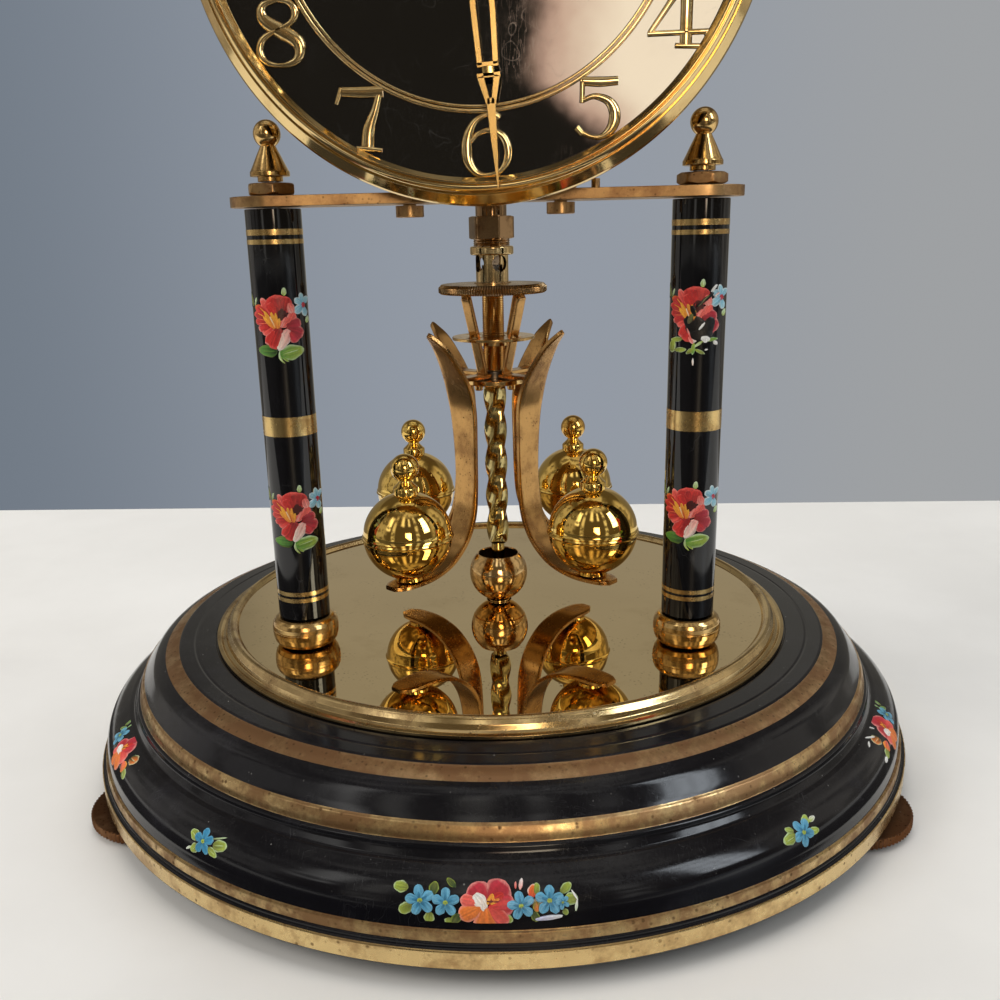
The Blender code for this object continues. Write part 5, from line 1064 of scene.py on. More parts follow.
def build_ball(number, x, y):
    """A globe of two halves with a raised seam, a short collar under it, and a knob: cylinder, cone, waist
    and a small globe."""
    centre, radius = 52.3, 9.8
    globe = arc((0, centre), radius, -70.9, 74.0, 80)
    off = globe[:, 1] - centre
    lip = np.exp(-((np.abs(off) - 0.28) / 0.16) ** 2)
    globe[:, 0] += 0.42 * lip - 0.08 * np.exp(-(off / 0.1) ** 2)
    knob = np.concatenate([[(2.72, 61.74), (2.72, 63.1), (2.62, 63.28)],
                           smooth([(2.35, 63.5), (1.75, 64.1), (1.38, 64.55), (1.3, 64.8)], 8),
                           arc((0, 67.5), 3.08, -62.5, 90, 26)])
    outline = np.concatenate([[(0, 42.2), (3.1, 42.2), (3.2, 42.3), (3.2, 43.02)], globe, knob])
    piece("ball_%d_polished" % number, "weight_%d" % number, [BALL_GOLD], shifted(turned(outline, 112), x, y),
          ["ball_%d" % number])


build_base()
build_plate()
build_cup()
build_pillars()
build_dial()
build_bezel()
build_hands()
build_guard()
build_pendulum()


# Painted flowers

def on_pillar(side, height):
    """Paint's place on a pillar as it looks from the front: right of the middle of what shows, up by a
    height, out by a lift. The angle is the arc sine of right over the radius."""
    bearing = radians(-76.0 if side < 0 else -98.8)
    radius = PILLAR_RADIUS + 0.02

    def at(right, up, lift):
        angle = bearing + np.arcsin(np.clip(right / radius, -0.98, 0.98))
        return spun(radius + lift, angle, height + up, side * PILLAR_X, PILLAR_Y)
    return at


def on_base(bearing, middle):
    """Paint's place on the base's rounded step: right by an angle, up along the profile's own length, out
    along its normal."""
    step = np.linalg.norm(np.diff(OVOLO, axis=0), axis=1)
    length = np.concatenate([[0], np.cumsum(step)])
    flow = np.gradient(OVOLO, axis=0)
    flow /= np.linalg.norm(flow, axis=1)[:, None]

    def at(right, up, lift):
        s = middle * length[-1] + up
        radius = np.interp(s, length, OVOLO[:, 0])
        height = np.interp(s, length, OVOLO[:, 1])
        out_r = np.interp(s, length, flow[:, 1])
        out_z = -np.interp(s, length, flow[:, 0])
        angle = radians(bearing) + right / 91.5
        return spun(radius + lift * out_r, angle, height + lift * out_z)
    return at


def on_dial(right, up, lift):
    """Paint's place on the dial's face."""
    return np.stack([right, BACK_PLATE_Y - DIAL_FACE - lift, DIAL_HEIGHT + up], -1)


RNG = np.random.default_rng(7)

MAROON, DEEP, RED = (0.055, 0.004, 0.005), (0.25, 0.010, 0.013), (0.52, 0.022, 0.018)
CRIMSON, CORAL, PINK = (0.46, 0.024, 0.045), (0.74, 0.10, 0.08), (0.82, 0.32, 0.28)
ORANGE, FLAME, CREAM = (0.74, 0.17, 0.025), (0.78, 0.38, 0.03), (0.83, 0.66, 0.56)
WHITE, LILAC, SHADE = (0.76, 0.76, 0.73), (0.46, 0.46, 0.72), (0.02, 0.05, 0.012)
GREEN, LIME, OLIVE, RIM = (0.08, 0.25, 0.03), (0.32, 0.42, 0.05), (0.13, 0.15, 0.03), (0.5, 0.66, 0.4)
BLUE, SKY, PALE, TEAL = (0.03, 0.21, 0.38), (0.13, 0.38, 0.55), (0.36, 0.62, 0.70), (0.02, 0.10, 0.16)
BLACK, BROWN = (0.003, 0.003, 0.004), (0.10, 0.075, 0.045)


def petal(host, x, y, heading, length, width, near, far, rim, full, bend, lift):
    """A painted petal: its half width is a root of a sine along its length, a little uneven, and it stands on
    the surface like a thin pad. Its colour runs from near to far in streaks, with a paler rim."""
    along, over = np.meshgrid(np.linspace(0, 1, 19), np.linspace(-1, 1, 13), indexing="ij")
    half = width / 2 * np.sin(pi * np.clip(along, 0, 1) ** full) ** 0.55
    half = half * (1 + 0.05 * np.sin(along * 13 + RNG.uniform(0, 6)))
    forward = along * length
    aside = half * over + bend * np.sin(pi * along)
    c, s = cos(radians(heading)), sin(radians(heading))
    right = x + forward * c - aside * s
    up = y + forward * s + aside * c
    border = (np.abs(over) > 0.99) | (along < 0.01) | (along > 0.99)
    streaks = RNG.uniform(-1, 1, (1, 13))
    height = np.where(border, -0.02, lift + 0.03 * (1 - over ** 2) + 0.008 * streaks)
    mix = np.clip(along + 0.3 * streaks, 0, 1)[..., None]
    near, far = np.array(near), np.array(far)
    colour = (near * (1 - mix) + far * mix) * (1 + 0.22 * RNG.uniform(-1, 1, (1, 13, 1)))
    colour = colour * RNG.uniform(0.88, 1.12, along.shape + (1,))
    if rim is not None:
        edge = np.maximum((np.abs(over) - 0.66) / 0.24 * (along > 0.2), (along - 0.84) / 0.1)
        edge = np.clip(edge, 0, 1) * RNG.uniform(0.35, 0.95, along.shape)
        colour = colour * (1 - edge[..., None]) + np.array(rim) * edge[..., None]
    colours = np.concatenate([np.clip(colour, 0, 1), np.ones(along.shape + (1,))], -1)
    return shaped(host(right, up, height), quads(19, 13, False, False), 0, colours)


def painted(host, rows, x=0.0, y=0.0, size=1.0, turn=0.0, first=0):
    """Rows of petals laid one over another about a middle, each a hair higher than the last."""
    c, s = cos(radians(turn)), sin(radians(turn))
    shapes = []
    for index, (a, b, heading, length, width, near, far, *more) in enumerate(rows):
        rim, full, bend = (list(more) + [None, 1.0, 0.0][len(more):])
        shapes.append(petal(host, x + size * (a * c - b * s), y + size * (a * s + b * c), heading + turn,
                            size * length, size * width, near, far, rim, full, size * bend,
                            0.03 + 0.004 * (first + index)))
    return shapes


def leaf(x, y, heading, length, width, dark=GREEN, light=LIME, rim=RIM):
    """A green leaf with a pale rim and a light vein."""
    step = length * 0.12
    c, s = cos(radians(heading)), sin(radians(heading))
    return [(x, y, heading, length, width, dark, light, rim, 0.85),
            (x + step * c, y + step * s, heading + 3, length * 0.66, width * 0.14, light, rim)]


def bloom(x, y, size, petals=BLUE, tips=SKY, heart=LIME, turn=18.0, rim=None):
    """A small flower of five petals round a yellow heart."""
    rows = [(x, y, turn + 72 * k, size * 0.54, size * 0.36, petals, tips, rim, 1.45) for k in range(5)]
    rows += [(x, y, turn + 72 * k, size * 0.3, size * 0.12, TEAL, petals) for k in range(5)]
    return rows + [(x - size * 0.1, y, 0, size * 0.2, size * 0.2, heart, heart),
                   (x - size * 0.04, y, 0, size * 0.1, size * 0.08, OLIVE, OLIVE)]


# A rose in the order it is painted: left, up, heading, length, width, near colour, far colour, rim, fullness
FAN = [(-1.5, 1.2, 112, 4.0, 1.5, RED, CORAL, PINK, 1.3), (-1.5, 0.9, 137, 3.7, 1.9, DEEP, RED, ORANGE, 1.3),
       (-1.5, 0.5, 155, 3.4, 1.9, DEEP, RED, CORAL, 1.3), (-1.3, -0.1, 172, 3.2, 1.9, DEEP, RED, CORAL, 1.3),
       (-1.2, -0.5, 196, 2.9, 1.9, DEEP, RED, PINK, 1.3), (-1.1, -0.7, 217, 2.6, 1.7, RED, CORAL, PINK, 1.3)]
RAYS = [(-1.9, 0.8, 150, 2.3, 0.22, ORANGE, FLAME), (-1.9, 0.4, 168, 2.3, 0.2, ORANGE, CORAL),
        (-1.8, 0.0, 184, 2.1, 0.2, ORANGE, CORAL), (-1.8, 1.3, 132, 2.4, 0.22, ORANGE, FLAME)]
CROWN = [(0.3, 0.7, 98, 4.8, 5.4, DEEP, RED, CORAL, 1.25), (-0.3, 1.6, 122, 2.8, 2.4, RED, RED, CORAL, 1.3),
         (1.1, 2.2, 76, 3.0, 2.8, DEEP, RED, CORAL, 1.3), (0.3, 3.0, 100, 2.0, 1.7, RED, DEEP, CORAL, 1.2),
         (0.9, 2.9, -100, 2.6, 2.3, MAROON, MAROON)]
FLAMES = [(-1.0, -1.1, 128, 3.0, 0.8, ORANGE, FLAME), (-0.8, -1.3, 116, 4.1, 0.9, ORANGE, FLAME),
          (-0.5, -1.2, 103, 3.5, 0.9, RED, FLAME), (-0.3, -1.3, 93, 3.4, 0.7, ORANGE, FLAME),
          (-0.1, -1.2, 82, 2.2, 0.7, ORANGE, FLAME), (-0.6, -1.1, 112, 2.6, 0.3, FLAME, CREAM)]
CORALS = [(2.2, 3.9, -75, 2.4, 1.7, CORAL, PINK, PINK), (3.1, 2.0, -115, 2.8, 2.0, CORAL, CORAL, PINK),
          (2.2, 0.7, -145, 2.6, 1.7, CORAL, CORAL, PINK), (1.6, 1.2, -120, 2.6, 1.0, CORAL, PINK, CORAL)]
SKIRT = [(1.3, -0.5, 8, 3.1, 2.5, DEEP, CRIMSON, PINK, 1.35),
         (1.3, -1.1, -24, 3.7, 3.0, DEEP, CRIMSON, PINK, 1.35),
         (1.6, -1.5, -52, 3.0, 2.2, RED, CRIMSON, PINK, 1.3),
         (0.2, -0.8, 248, 4.7, 3.6, DEEP, RED, CORAL, 1.2),
         (-0.8, -1.4, 236, 3.4, 1.8, RED, RED, PINK, 1.2),
         (2.0, -1.2, 240, 4.9, 2.3, PINK, CREAM, WHITE, 0.9), (0.9, -1.3, 262, 3.0, 0.5, PINK, CREAM)]
ROSE = FAN + RAYS + CROWN + CORALS + SKIRT + FLAMES
PALE_PETALS = ((138, 2.1, 1.4), (98, 2.5, 1.0), (62, 1.9, 1.1), (218, 2.3, 1.7))
PALE_FLOWER = [(5.0, 3.2, *petal_size, SKY, PALE, WHITE, 1.3) for petal_size in PALE_PETALS]
PALE_FLOWER += [(5.1, 3.0, 276, 2.1, 1.1, SKY, PALE, WHITE, 1.3), (5.0, 3.8, 270, 1.2, 0.9, CRIMSON, CRIMSON)]
SPRIGS = (leaf(1.4, 5.2, 85, 1.6, 1.0, LIME, RIM) + leaf(5.5, -0.4, 80, 1.4, 0.7, LIME, RIM)
          + [(-4.6, 3.2, 100, 2.9, 0.5, OLIVE, OLIVE), (-4.3, 3.2, 78, 1.8, 0.35, OLIVE, RIM),
             (-4.9, 3.0, 120, 1.7, 0.4, OLIVE, OLIVE)])
FOLIAGE = (leaf(-0.6, -5.6, 176, 3.8, 2.5, SHADE, GREEN, OLIVE) + leaf(-0.3, -6.3, 10, 5.0, 3.0)
           + [(-0.2, -5.4, -72, 2.8, 0.5, RIM, LIME, None, 1.0, -0.5),
              (0.1, -6.6, -40, 1.7, 0.6, GREEN, LIME, RIM)])


def plain(colour, *places):
    """Strokes of one colour, each left, up, heading, length and width."""
    return [(*place, colour, colour) for place in places]


# On one rose the paint has gone down to the black enamel and to its white ground
WORN = (plain(BLACK, (-1.9, -0.4, -35, 6.6, 4.0), (-1.6, -1.8, -20, 5.4, 4.6), (3.4, -0.3, 250, 4.6, 2.6),
              (-0.6, 1.9, -70, 2.4, 1.1), (-0.9, -3.9, 0, 4.4, 2.4), (0.2, 1.4, 40, 4.4, 0.8))
        + [(0.6, 1.5, 47, 3.2, 0.4, BROWN, OLIVE), (-0.3, 0.3, 250, 2.2, 1.1, OLIVE, BROWN),
           (-1.3, -2.4, -68, 2.4, 0.35, PINK, CORAL), (-0.9, -4.1, -60, 1.7, 0.8, CORAL, PINK)]
        + plain(WHITE, (0.9, -2.9, 52, 1.9, 0.55), (1.3, -4.4, -10, 1.9, 1.3), (2.1, -4.2, -80, 1.2, 1.0),
                (3.9, -5.0, -60, 1.0, 0.7), (2.2, -6.8, 20, 0.6, 0.3))
        + [(0.0, -8.3, -88, 1.5, 0.4, WHITE, CREAM), (3.0, 4.3, 52, 1.8, 0.4, WHITE, WHITE),
           (3.6, 3.4, 40, 1.2, 0.35, WHITE, PINK)])
WORN_FOLIAGE = [(-2.0, -4.6, 190, 2.4, 1.0, OLIVE, LIME, RIM), (-3.9, -4.9, 265, 2.6, 1.2, LIME, OLIVE, RIM),
                (-3.7, -6.9, 5, 2.4, 1.0, OLIVE, LIME, RIM), (0.1, -6.2, 35, 2.3, 0.6, RIM, LIME),
                (1.7, -4.9, 5, 3.0, 0.8, LIME, GREEN, RIM), (0.1, -5.3, -95, 2.4, 0.8, LIME, GREEN, RIM),
                (0.2, -6.4, 215, 1.9, 0.9, LIME, OLIVE, RIM), (0.3, -6.6, -25, 2.2, 0.7, LIME, OLIVE, RIM)]


def pillar_flower(side, height, worn=False):
    host = on_pillar(side, height)
    back = painted(host, SPRIGS + PALE_FLOWER + (WORN_FOLIAGE if worn else FOLIAGE), -0.6)
    return back + painted(host, ROSE + (WORN if worn else []), -0.6, 0, 1.0, 0, 12)


SPRAY_ROSE = [(0.3, -0.2, 128, 4.2, 4.0, DEEP, CRIMSON, PINK, 1.3),
              (0.5, 0.0, 55, 4.4, 4.2, DEEP, CRIMSON, PINK, 1.3),
              (0.5, -0.2, 8, 4.0, 3.8, RED, CRIMSON, PINK, 1.3),
              (0.4, -0.2, -48, 4.2, 3.2, RED, CORAL, PINK, 1.3),
              (-0.6, 0.2, 170, 3.4, 2.2, CORAL, CORAL, PINK, 1.3),
              (-0.6, -0.2, 208, 3.9, 3.0, ORANGE, ORANGE, PINK, 1.3),
              (0.1, -0.3, -92, 4.2, 3.7, ORANGE, ORANGE, PINK, 1.3), (0.3, 0.3, 28, 2.9, 1.6, DEEP, RED),
              (0.2, -0.6, 132, 3.0, 2.3, CREAM, WHITE, CREAM, 1.2),
              (-0.3, -1.0, 96, 2.0, 1.0, WHITE, CREAM), (0.2, 0.0, 62, 1.9, 0.8, FLAME, ORANGE),
              (0.7, 0.1, 30, 1.7, 0.7, FLAME, ORANGE), (1.3, 0.2, 100, 1.5, 0.5, ORANGE, FLAME),
              (0.1, 0.5, 0, 2.0, 0.5, MAROON, DEEP)]


def front_spray():
    """Four blue flowers, a rose, leaves, buds and two white stalks, from left to right along the step."""
    rows = [(-13.2, 1.9, 175, 2.6, 2.0, OLIVE, LIME, RIM), (-5.3, 2.4, 138, 2.2, 1.1, SHADE, OLIVE, LIME),
            (-9.4, -1.6, 262, 2.1, 1.8, OLIVE, LIME, RIM), (-6.2, -2.4, 265, 1.3, 1.7, OLIVE, LIME, RIM),
            (2.2, -2.0, -30, 2.0, 1.6, OLIVE, LIME, RIM), (1.0, -3.2, 0, 1.8, 0.9, OLIVE, GREEN, RIM),
            (7.7, 0.2, -85, 1.8, 1.2, OLIVE, ORANGE, LIME), (12.3, 0.2, 0, 2.3, 2.1, LIME, OLIVE, RIM),
            (12.1, -1.3, -60, 1.2, 1.0, OLIVE, LIME, RIM), (-12.4, 0.8, 248, 1.6, 0.35, WHITE, WHITE),
            (-13.0, -0.6, -60, 1.2, 0.35, WHITE, WHITE), (13.6, 1.6, -62, 2.0, 0.4, WHITE, WHITE),
            (14.4, 0.0, -100, 1.9, 0.5, WHITE, RIM), (5.2, 2.0, 78, 2.0, 0.7, PINK, WHITE),
            (7.0, 0.8, 72, 2.2, 1.8, RED, ORANGE, WHITE, 0.9), (4.5, 2.2, 88, 1.2, 0.4, CORAL, PINK),
            (-9.2, 1.0, 78, 2.3, 1.7, SHADE, OLIVE, LIME), (-12.4, -0.7, 212, 2.5, 2.0, OLIVE, LIME, RIM),
            (-4.6, -1.6, 240, 2.3, 1.6, SHADE, OLIVE, LIME), (7.8, 1.2, 84, 1.9, 1.3, OLIVE, LIME, RIM),
            (11.8, 1.2, 38, 2.4, 1.5, OLIVE, LIME, RIM), (7.2, -1.4, -70, 1.9, 1.4, SHADE, OLIVE, LIME)]
    for x, y, size, turn in ((-11.1, 0.1, 4.7, 32), (-6.9, 0.0, 4.4, 20), (5.3, -0.4, 4.3, 30),
                             (9.9, 0.2, 4.5, 14), (12.0, -0.2, 2.2, 40)):
        rows += bloom(x, y, size, turn=turn, rim=SKY)
    rows.append((7.4, -2.7, 4, 4.6, 0.7, LILAC, WHITE))
    host = on_base(-89.25, 0.34)
    return painted(host, rows) + painted(host, SPRAY_ROSE, -0.4, -0.2, 1.06, 0, 12)


SPRIG_LEFT = (leaf(-1.4, 0.1, 158, 2.6, 2.0, OLIVE, LIME) + leaf(-1.0, -0.9, 220, 2.3, 1.8, OLIVE, LIME)
              + leaf(2.5, 0.3, 12, 3.4, 2.2, OLIVE, LIME) + leaf(1.5, -0.5, -18, 2.7, 1.5, OLIVE, LIME)
              + [(-2.7, -1.6, 215, 1.6, 0.5, RIM, WHITE), (1.6, 1.1, 22, 3.6, 0.35, OLIVE, RIM)]
              + bloom(0, 0.2, 4.6, BLUE, BLUE, LIME, 96, SKY))
SPRIG_RIGHT = (leaf(0.9, 0.9, 50, 2.3, 1.7, LIME, LIME) + leaf(1.3, -0.3, -12, 2.7, 1.5, LIME, LIME)
               + leaf(-2.1, 1.0, 150, 2.0, 1.2, OLIVE, LIME) + leaf(-2.0, 0.2, 182, 3.3, 2.2, OLIVE, LIME)
               + [(2.2, 1.3, 8, 2.0, 1.0, LIME, WHITE, WHITE)]
               + bloom(0, 0.1, 4.9, BLUE, SKY, LIME, 120, SKY))
SIDE_SPRAY = (leaf(9.4, 1.2, 150, 2.6, 1.2, OLIVE, GREEN) + leaf(9.0, 2.2, 60, 2.4, 1.0, OLIVE, GREEN)
              + [(7.4, 2.6, 80, 2.2, 0.5, GREEN, RIM)] + leaf(-5.6, 1.2, 172, 3.2, 2.6, SHADE, ORANGE)
              + leaf(-6.2, -1.6, 196, 2.6, 2.0, OLIVE, LIME)
              + [(-4.2, -0.6, 200, 2.8, 2.4, CORAL, ORANGE, FLAME, 1.3)]
              + bloom(6.2, 0.8, 4.4, TEAL, SKY, LIME, 40, SKY))
SIDE_STALKS = plain(WHITE, (-6.4, 1.9, 150, 3.2, 0.5), (-9.6, 2.6, 200, 2.0, 0.45),
                    (-8.6, -2.2, 190, 1.8, 1.0), (-3.4, 2.6, 120, 2.0, 0.35))


def mirrored(rows):
    """The same rows with left and right changed over."""
    return [(-x, y, 180 - heading, *more) for x, y, heading, *more in rows]


WREATH = [(-5.5, -3.0, 215), (-2.2, -6.0, 250), (2.6, -6.2, -70), (6.0, -4.2, -40), (7.4, 0.5, 5),
          (5.0, 5.4, 45), (0, 7.0, 90), (-5.2, 5.0, 140), (-7.2, 1.0, 180)]


def dial_wreath():
    """Three roses with leaves and small pale flowers about the dial's middle."""
    rows = []
    for x, y, heading in WREATH:
        rows += leaf(x, y, heading, 3.4, 2.1, GREEN, LIME, WHITE)
    for x, y in ((7.6, -7.0), (-7.8, -4.6), (8.6, 4.4), (-8.0, 5.2)):
        rows += bloom(x, y, 2.6, SKY, PALE, LIME)
    shapes = painted(on_dial, rows)
    for x, y, size, turn in ((3.4, -2.2, 0.88, -20), (-3.6, -1.0, 0.78, 60), (0.4, 4.2, 0.76, 150)):
        shapes += painted(on_dial, ROSE, x, y, size, turn, 14)
    return shapes


def transfer(name, shapes):
    """A painted piece on the black enamel."""
    piece(name, "frame", [PETALS], shapes, (), 80, painted=True)


def build_flowers():
    for side, name in ((-1, "left"), (1, "right")):
        transfer("pillar_roses_" + name, pillar_flower(side, 99.5, side > 0) + pillar_flower(side, 59.5))
    transfer("front_spray", front_spray())
    for name, bearing, rows in (("left", -123.5, SPRIG_LEFT), ("right", -52.0, SPRIG_RIGHT)):
        transfer("blue_sprig_" + name, painted(on_base(bearing, 0.40), rows))
    for name, bearing, rows in (("left", -149.0, mirrored(SIDE_SPRAY)),
                                ("right", -24.25, SIDE_SPRAY + SIDE_STALKS), ("rear", 90.0, SIDE_SPRAY)):
        host = on_base(bearing, 0.62)
        transfer("base_rose_" + name, painted(host, rows) + painted(host, SPRAY_ROSE, 0, 0, 0.95, 40, 14))
    transfer("dial_roses", dial_wreath())


build_flowers()
build_platform()


# The solids that stay: better looks by name

BRASS_SOLIDS = ("front_plate", "back_plate", "movement_pillar", "suspension_bracket",
                "suspension_top_block", "mainspring_barrel", "second_wheel", "third_wheel", "centre_wheel",
                "fourth_wheel", "escape_wheel", "fork", "minute_wheel", "hour_wheel")
STEEL_SOLIDS = ("tie_rod", "suspension_strip", "winding_arbor", "click", "anchor", "cannon_pinion")
for starts, look in ((BRASS_SOLIDS, MOVEMENT_BRASS), (STEEL_SOLIDS, STEEL)):
    for label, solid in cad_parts.items():
        if label.startswith(starts):
            for place in solid.material_slots:
                place.material = look


# Floor, world, lights and camera

def wall_colour(tree, across, away):
    """The wall's grey-blue by the slope of a level line of sight, with painted shade and light across it:
    darker to the left, paler to the right.
    """
    slope = calc(tree, "DIVIDE", across, calc(tree, "MAXIMUM", calc(tree, "ABSOLUTE", away), 0.05))
    left = blended(tree, spread(tree, slope, -0.62, -0.05), WALL_LEFT, WALL)
    return blended(tree, spread(tree, slope, 0.0, 0.42), left, WALL_RIGHT)


def sheet(name, look, points, faces, hidden=True):
    """A piece of the stage. A hidden one is seen by shiny surfaces alone."""
    mesh = bpy.data.meshes.new(name)
    mesh.from_pydata(points, [], faces)
    mesh.materials.append(look)
    made = placed(name, mesh)
    if hidden:
        made.visible_camera = False
        made.visible_diffuse = False
        made.visible_shadow = False


# The table reaches this far to the sides and the front, and ends behind the clock where the wall shows
TABLE_REACH, TABLE_END = 6.0, 0.207


def build_floor():
    made, tree, shader, where, _ = begin("pale_floor")
    tint = blended(tree, spread(tree, clouds(tree, where, 9.0, 5.0), 0.35, 0.7), (0.80, 0.785, 0.75),
                   (0.86, 0.845, 0.81))
    dots = spread(tree, cells(tree, where, 160.0), 0.02, 0.06, 1.0, 0.0)
    gate = spread(tree, clouds(tree, where, 22.0, 2.0), 0.6, 0.7)
    tint = blended(tree, calc(tree, "MULTIPLY", calc(tree, "MULTIPLY", dots, gate), 0.4), tint,
                   (0.25, 0.2, 0.15))
    feed(tree, shader.inputs["Base Color"], tint)
    shader.inputs["Roughness"].default_value = 0.5
    corners = [(-TABLE_REACH, -TABLE_REACH, 0), (TABLE_REACH, -TABLE_REACH, 0), (TABLE_REACH, TABLE_END, 0),
               (-TABLE_REACH, TABLE_END, 0)]
    sheet("floor", made, corners, [(0, 1, 2, 3)], hidden=False)


WALL = (0.29, 0.32, 0.37)
# Painted shade on the wall to the left and painted light to the right
WALL_LEFT = (0.165, 0.195, 0.235)
WALL_RIGHT = (0.345, 0.355, 0.365)
WALL_MIRRORED = (0.34, 0.32, 0.27)
WALL_SIDE = (0.19, 0.175, 0.145)
SHADOW_SIDE = (0.10, 0.082, 0.058)
ROOM_FRONT = (0.03, 0.027, 0.025)
CEILING = (0.45, 0.43, 0.40)
# Bright places for shiny surfaces: azimuth and half its width, lowest and highest elevation in degrees, soft
# edge, strength and colour
GLOWS = ((-29, 8.5, 15, 50, 0.8, 8.0, (0.86, 0.93, 1.0)), (-140, 7, 22, 55, 3.0, 2.2, (1.0, 0.98, 0.94)),
         (-76, 3, 38, 58, 3.0, 1.3, (1.0, 0.96, 0.9)), (-165, 22, 0, 45, 8.0, 0.45, (1.0, 0.94, 0.86)),
         (-97, 5, 38, 66, 4.0, 1.4, (1.0, 0.95, 0.85)), (-56, 4, -8, 60, 3.0, 0.9, (1.0, 0.97, 0.92)),
         (-122, 4, -8, 60, 3.0, 0.9, (1.0, 0.95, 0.86)), (12, 26, -8, 45, 8.0, 0.55, (1.0, 0.92, 0.80)),
         (168, 20, -8, 45, 8.0, 0.5, (1.0, 0.93, 0.84)), (0, 181, 62, 91, 6.0, 0.6, (1.0, 0.94, 0.85)))


def within(tree, value, low, high, soft):
    """One between two limits in degrees, falling to nothing outside them over a soft edge."""
    rise = spread(tree, value, radians(low - soft), radians(low + soft))
    fall = spread(tree, value, radians(high - soft), radians(high + soft), 1.0, 0.0)
    return calc(tree, "MULTIPLY", rise, fall)


def build_world():
    """Pale grey-blue wall for the camera and soft light; shiny surfaces see a dark room in front with
    windows."""
    world = bpy.data.worlds.new("studio")
    bpy.context.scene.world = world
    world.use_nodes = True
    tree = world.node_tree
    plain = tree.nodes["Background"]
    path = node(tree, "ShaderNodeLightPath").outputs
    direction = node(tree, "ShaderNodeTexCoord").outputs["Generated"]
    x, y, z = split(tree, direction)
    back = spread(tree, y, -0.35, 0.25)
    high = spread(tree, z, 0.25, 0.8)
    room = blended(tree, back, ROOM_FRONT, WALL)
    room = blended(tree, calc(tree, "MULTIPLY", high, 0.8), room, CEILING)
    azimuth = calc(tree, "ARCTAN2", y, x)
    elevation = calc(tree, "ARCSINE", z)
    low = spread(tree, elevation, radians(27), radians(31), 1.0, 0.0)
    wall = calc(tree, "MULTIPLY", spread(tree, y, -0.05, 0.12), low)
    shiny = blended(tree, wall, SHADOW_SIDE, WALL_SIDE)
    middle = calc(tree, "MULTIPLY", low, within(tree, azimuth, 70, 108, 4.0))
    shiny = blended(tree, middle, shiny, WALL_MIRRORED)
    patches = spread(tree, clouds(tree, direction, 5.0, 3.0), 0.42, 0.54, 0.15, 1.0)
    for middle, half, low, top, soft, strength, tint in GLOWS:
        mask = within(tree, elevation, low, top, soft)
        if half < 180:
            mask = calc(tree, "MULTIPLY", mask, within(tree, azimuth, middle - half, middle + half, soft))
        if strength > 5:
            mask = calc(tree, "MULTIPLY", mask, window_bars(tree, azimuth, elevation))
        else:
            mask = calc(tree, "MULTIPLY", mask, patches)
        shiny = blended(tree, mask, shiny, tuple(strength * part for part in tint))
    colour = blended(tree, path["Is Glossy Ray"], room, shiny)
    colour = blended(tree, path["Is Camera Ray"], colour, wall_colour(tree, x, y))
    feed(tree, plain.inputs[0], colour)
    plain.inputs[1].default_value = 1.0


def window_bars(tree, azimuth, elevation):
    """Nothing along the bars between panes, one elsewhere."""
    panes = []
    for value, pitch in ((azimuth, 5.7), (elevation, 8.7)):
        wave = calc(tree, "PINGPONG", value, radians(pitch / 2))
        panes.append(spread(tree, wave, radians(0.25), radians(0.5), 0.12, 1.0))
    return calc(tree, "MULTIPLY", *panes)


def lamp(name, place, aim, size, power, colour=(1, 1, 1)):
    """A square soft light at a place in metres, aimed at a point."""
    data = bpy.data.lights.new(name, "AREA")
    data.shape = "RECTANGLE"
    data.size, data.size_y = size
    data.energy = power
    data.color = colour
    made = placed(name, data)
    made.location = place
    made.rotation_euler = (Vector(aim) - Vector(place)).to_track_quat("-Z", "Y").to_euler()
    made.visible_glossy = False


def build_lights():
    lamp("left_window", (-0.95, -0.55, 0.75), (0, 0, 0.08), (0.7, 0.9), 8.8, (1.0, 0.97, 0.93))
    lamp("right_soft", (1.0, -0.35, 0.6), (0, 0, 0.08), (0.5, 0.8), 3.5, (0.90, 0.95, 1.0))
    lamp("top_soft", (0.1, 0.15, 1.2), (0, 0, 0.05), (0.9, 0.9), 5.5)
    lamp("back_soft", (-0.3, 1.1, 0.7), (0, 0, 0.1), (0.8, 0.8), 3.0)


def build_dark_card():
    """A black half ring on the floor round the base and a black card in front, seen only by shiny
    surfaces."""
    made, tree, shader, where, _ = begin("dark_card")
    tint = blended(tree, clouds(tree, where, 8.0), (0.02, 0.018, 0.016), (0.045, 0.04, 0.035))
    feed(tree, shader.inputs["Base Color"], tint)
    near, edge, far, rise, steps = 0.110, 0.20, 3.0, 0.0005, 48
    angles = np.radians(np.linspace(165, 375, steps + 1))
    points = [(radius * cos(at), radius * sin(at), rise) for at in angles for radius in (near, edge)]
    points += [(-far, -far, rise), (far, -far, rise), (far, -edge, rise), (-far, -edge, rise)]
    faces = [(2 * k, 2 * k + 1, 2 * k + 3, 2 * k + 2) for k in range(steps)]
    sheet("dark_card", made, points, faces + [tuple(range(2 * steps + 2, 2 * steps + 6))])


CARD_Y = -1.3
CARD_EDGE = 0.014
CARD_CORNER = 0.31


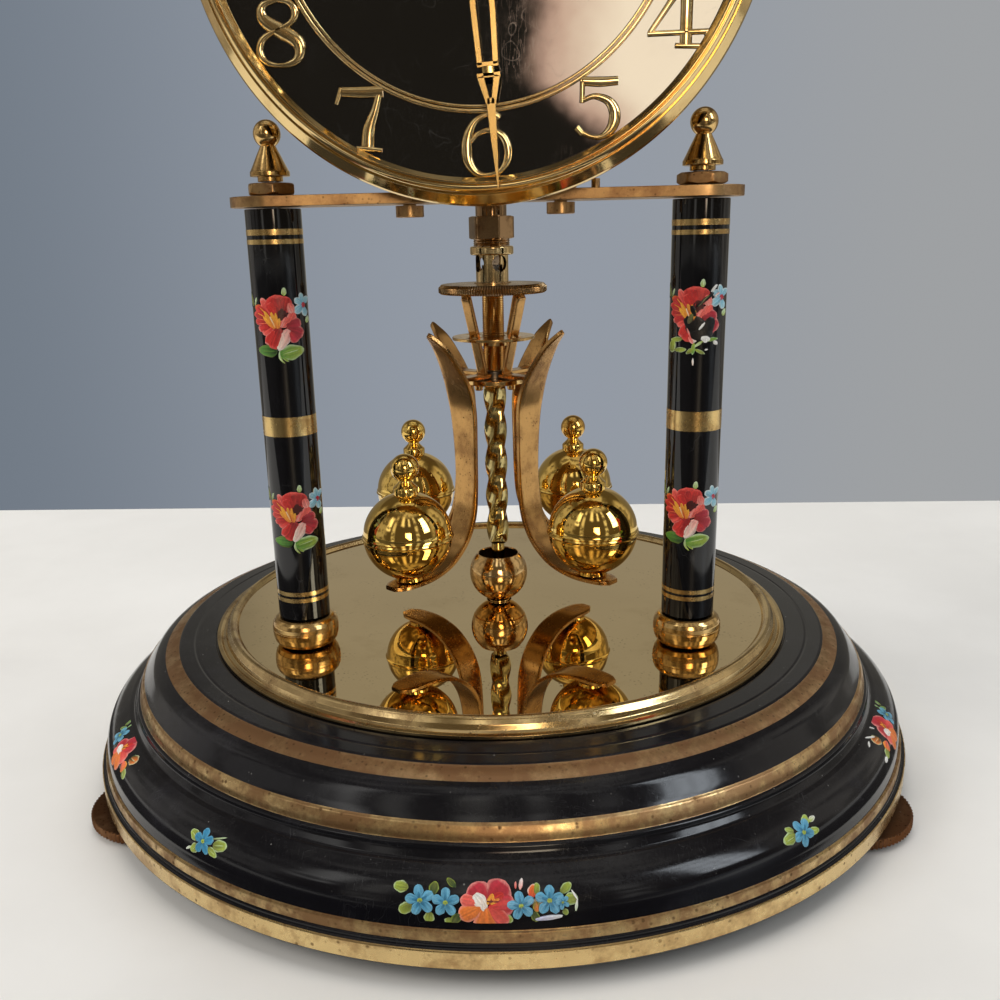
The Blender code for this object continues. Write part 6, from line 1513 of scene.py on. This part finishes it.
def build_dial_card():
    """A warm card behind the camera that the black dial mirrors: bright right of an upright edge, which
    slopes away to the right below a corner, with a soft, speckled border."""
    made, tree, shader, where, _ = begin("warm_card")
    tree.nodes.remove(shader)
    across, _, high = split(tree, where)
    glow = node(tree, "ShaderNodeEmission")
    below = calc(tree, "MAXIMUM", calc(tree, "SUBTRACT", CARD_CORNER, high), 0.0)
    inside = calc(tree, "SUBTRACT", calc(tree, "SUBTRACT", across, CARD_EDGE),
                  calc(tree, "MULTIPLY", below, 1.2))
    rough = calc(tree, "SUBTRACT", clouds(tree, where, 14.0, 6.0, 0.75), 0.5)
    inside = calc(tree, "MULTIPLY_ADD", rough, 0.08, inside)
    mask = spread(tree, inside, -0.025, 0.03)
    tint = blended(tree, spread(tree, inside, 0.0, 0.12), (0.60, 0.38, 0.27), (1.0, 0.83, 0.60))
    feed(tree, glow.inputs[0], tint)
    glow.inputs[1].default_value = 9.0
    clear = node(tree, "ShaderNodeBsdfTransparent")
    joined = node(tree, "ShaderNodeMixShader")
    feed(tree, joined.inputs[0], mask)
    tree.links.new(clear.outputs[0], joined.inputs[1])
    tree.links.new(glow.outputs[0], joined.inputs[2])
    tree.links.new(joined.outputs[0], tree.nodes["Material Output"].inputs[0])
    left, right, low, top = -0.06, 0.36, 0.14, 0.56
    corners = [(left, CARD_Y, low), (right, CARD_Y, low), (right, CARD_Y, top), (left, CARD_Y, top)]
    sheet("warm_card", made, corners, [(0, 1, 2, 3)])


CAMERA_PLACE = (0.01014, -0.23261, 0.12029)
# The photograph's width and the pixel that its lens looks through squarely
PHOTO_WIDTH = 1000
LENS_X, LENS_Y = 489.50, 526.30


def build_camera():
    """The photograph's view: place, pitch, yaw, roll and lens shift found by fitting the clock's own rims."""
    pitch, yaw, roll = radians(16.47), radians(-3.0), radians(1.35)
    forward = Vector((sin(yaw) * cos(pitch), cos(yaw) * cos(pitch), -sin(pitch)))
    right = Vector((cos(yaw), -sin(yaw), 0))
    down = forward.cross(right)
    right_rolled = cos(roll) * right + sin(roll) * down
    down_rolled = -sin(roll) * right + cos(roll) * down
    data = bpy.data.cameras.new("camera")
    data.sensor_width = 36.0
    data.lens = 36.0
    data.shift_x = (PHOTO_WIDTH / 2 - LENS_X) / PHOTO_WIDTH
    data.shift_y = (LENS_Y - PHOTO_WIDTH / 2) / PHOTO_WIDTH
    data.clip_start, data.clip_end = 0.01, 20.0
    made = placed("camera", data)
    turn = Matrix((right_rolled, -down_rolled, -forward)).transposed().to_4x4()
    made.matrix_world = Matrix.Translation(CAMERA_PLACE) @ turn
    bpy.context.scene.camera = made


build_floor()
build_world()
build_lights()
build_dial_card()
build_dark_card()
build_camera()
bpy.context.scene.view_settings.view_transform = "Standard"
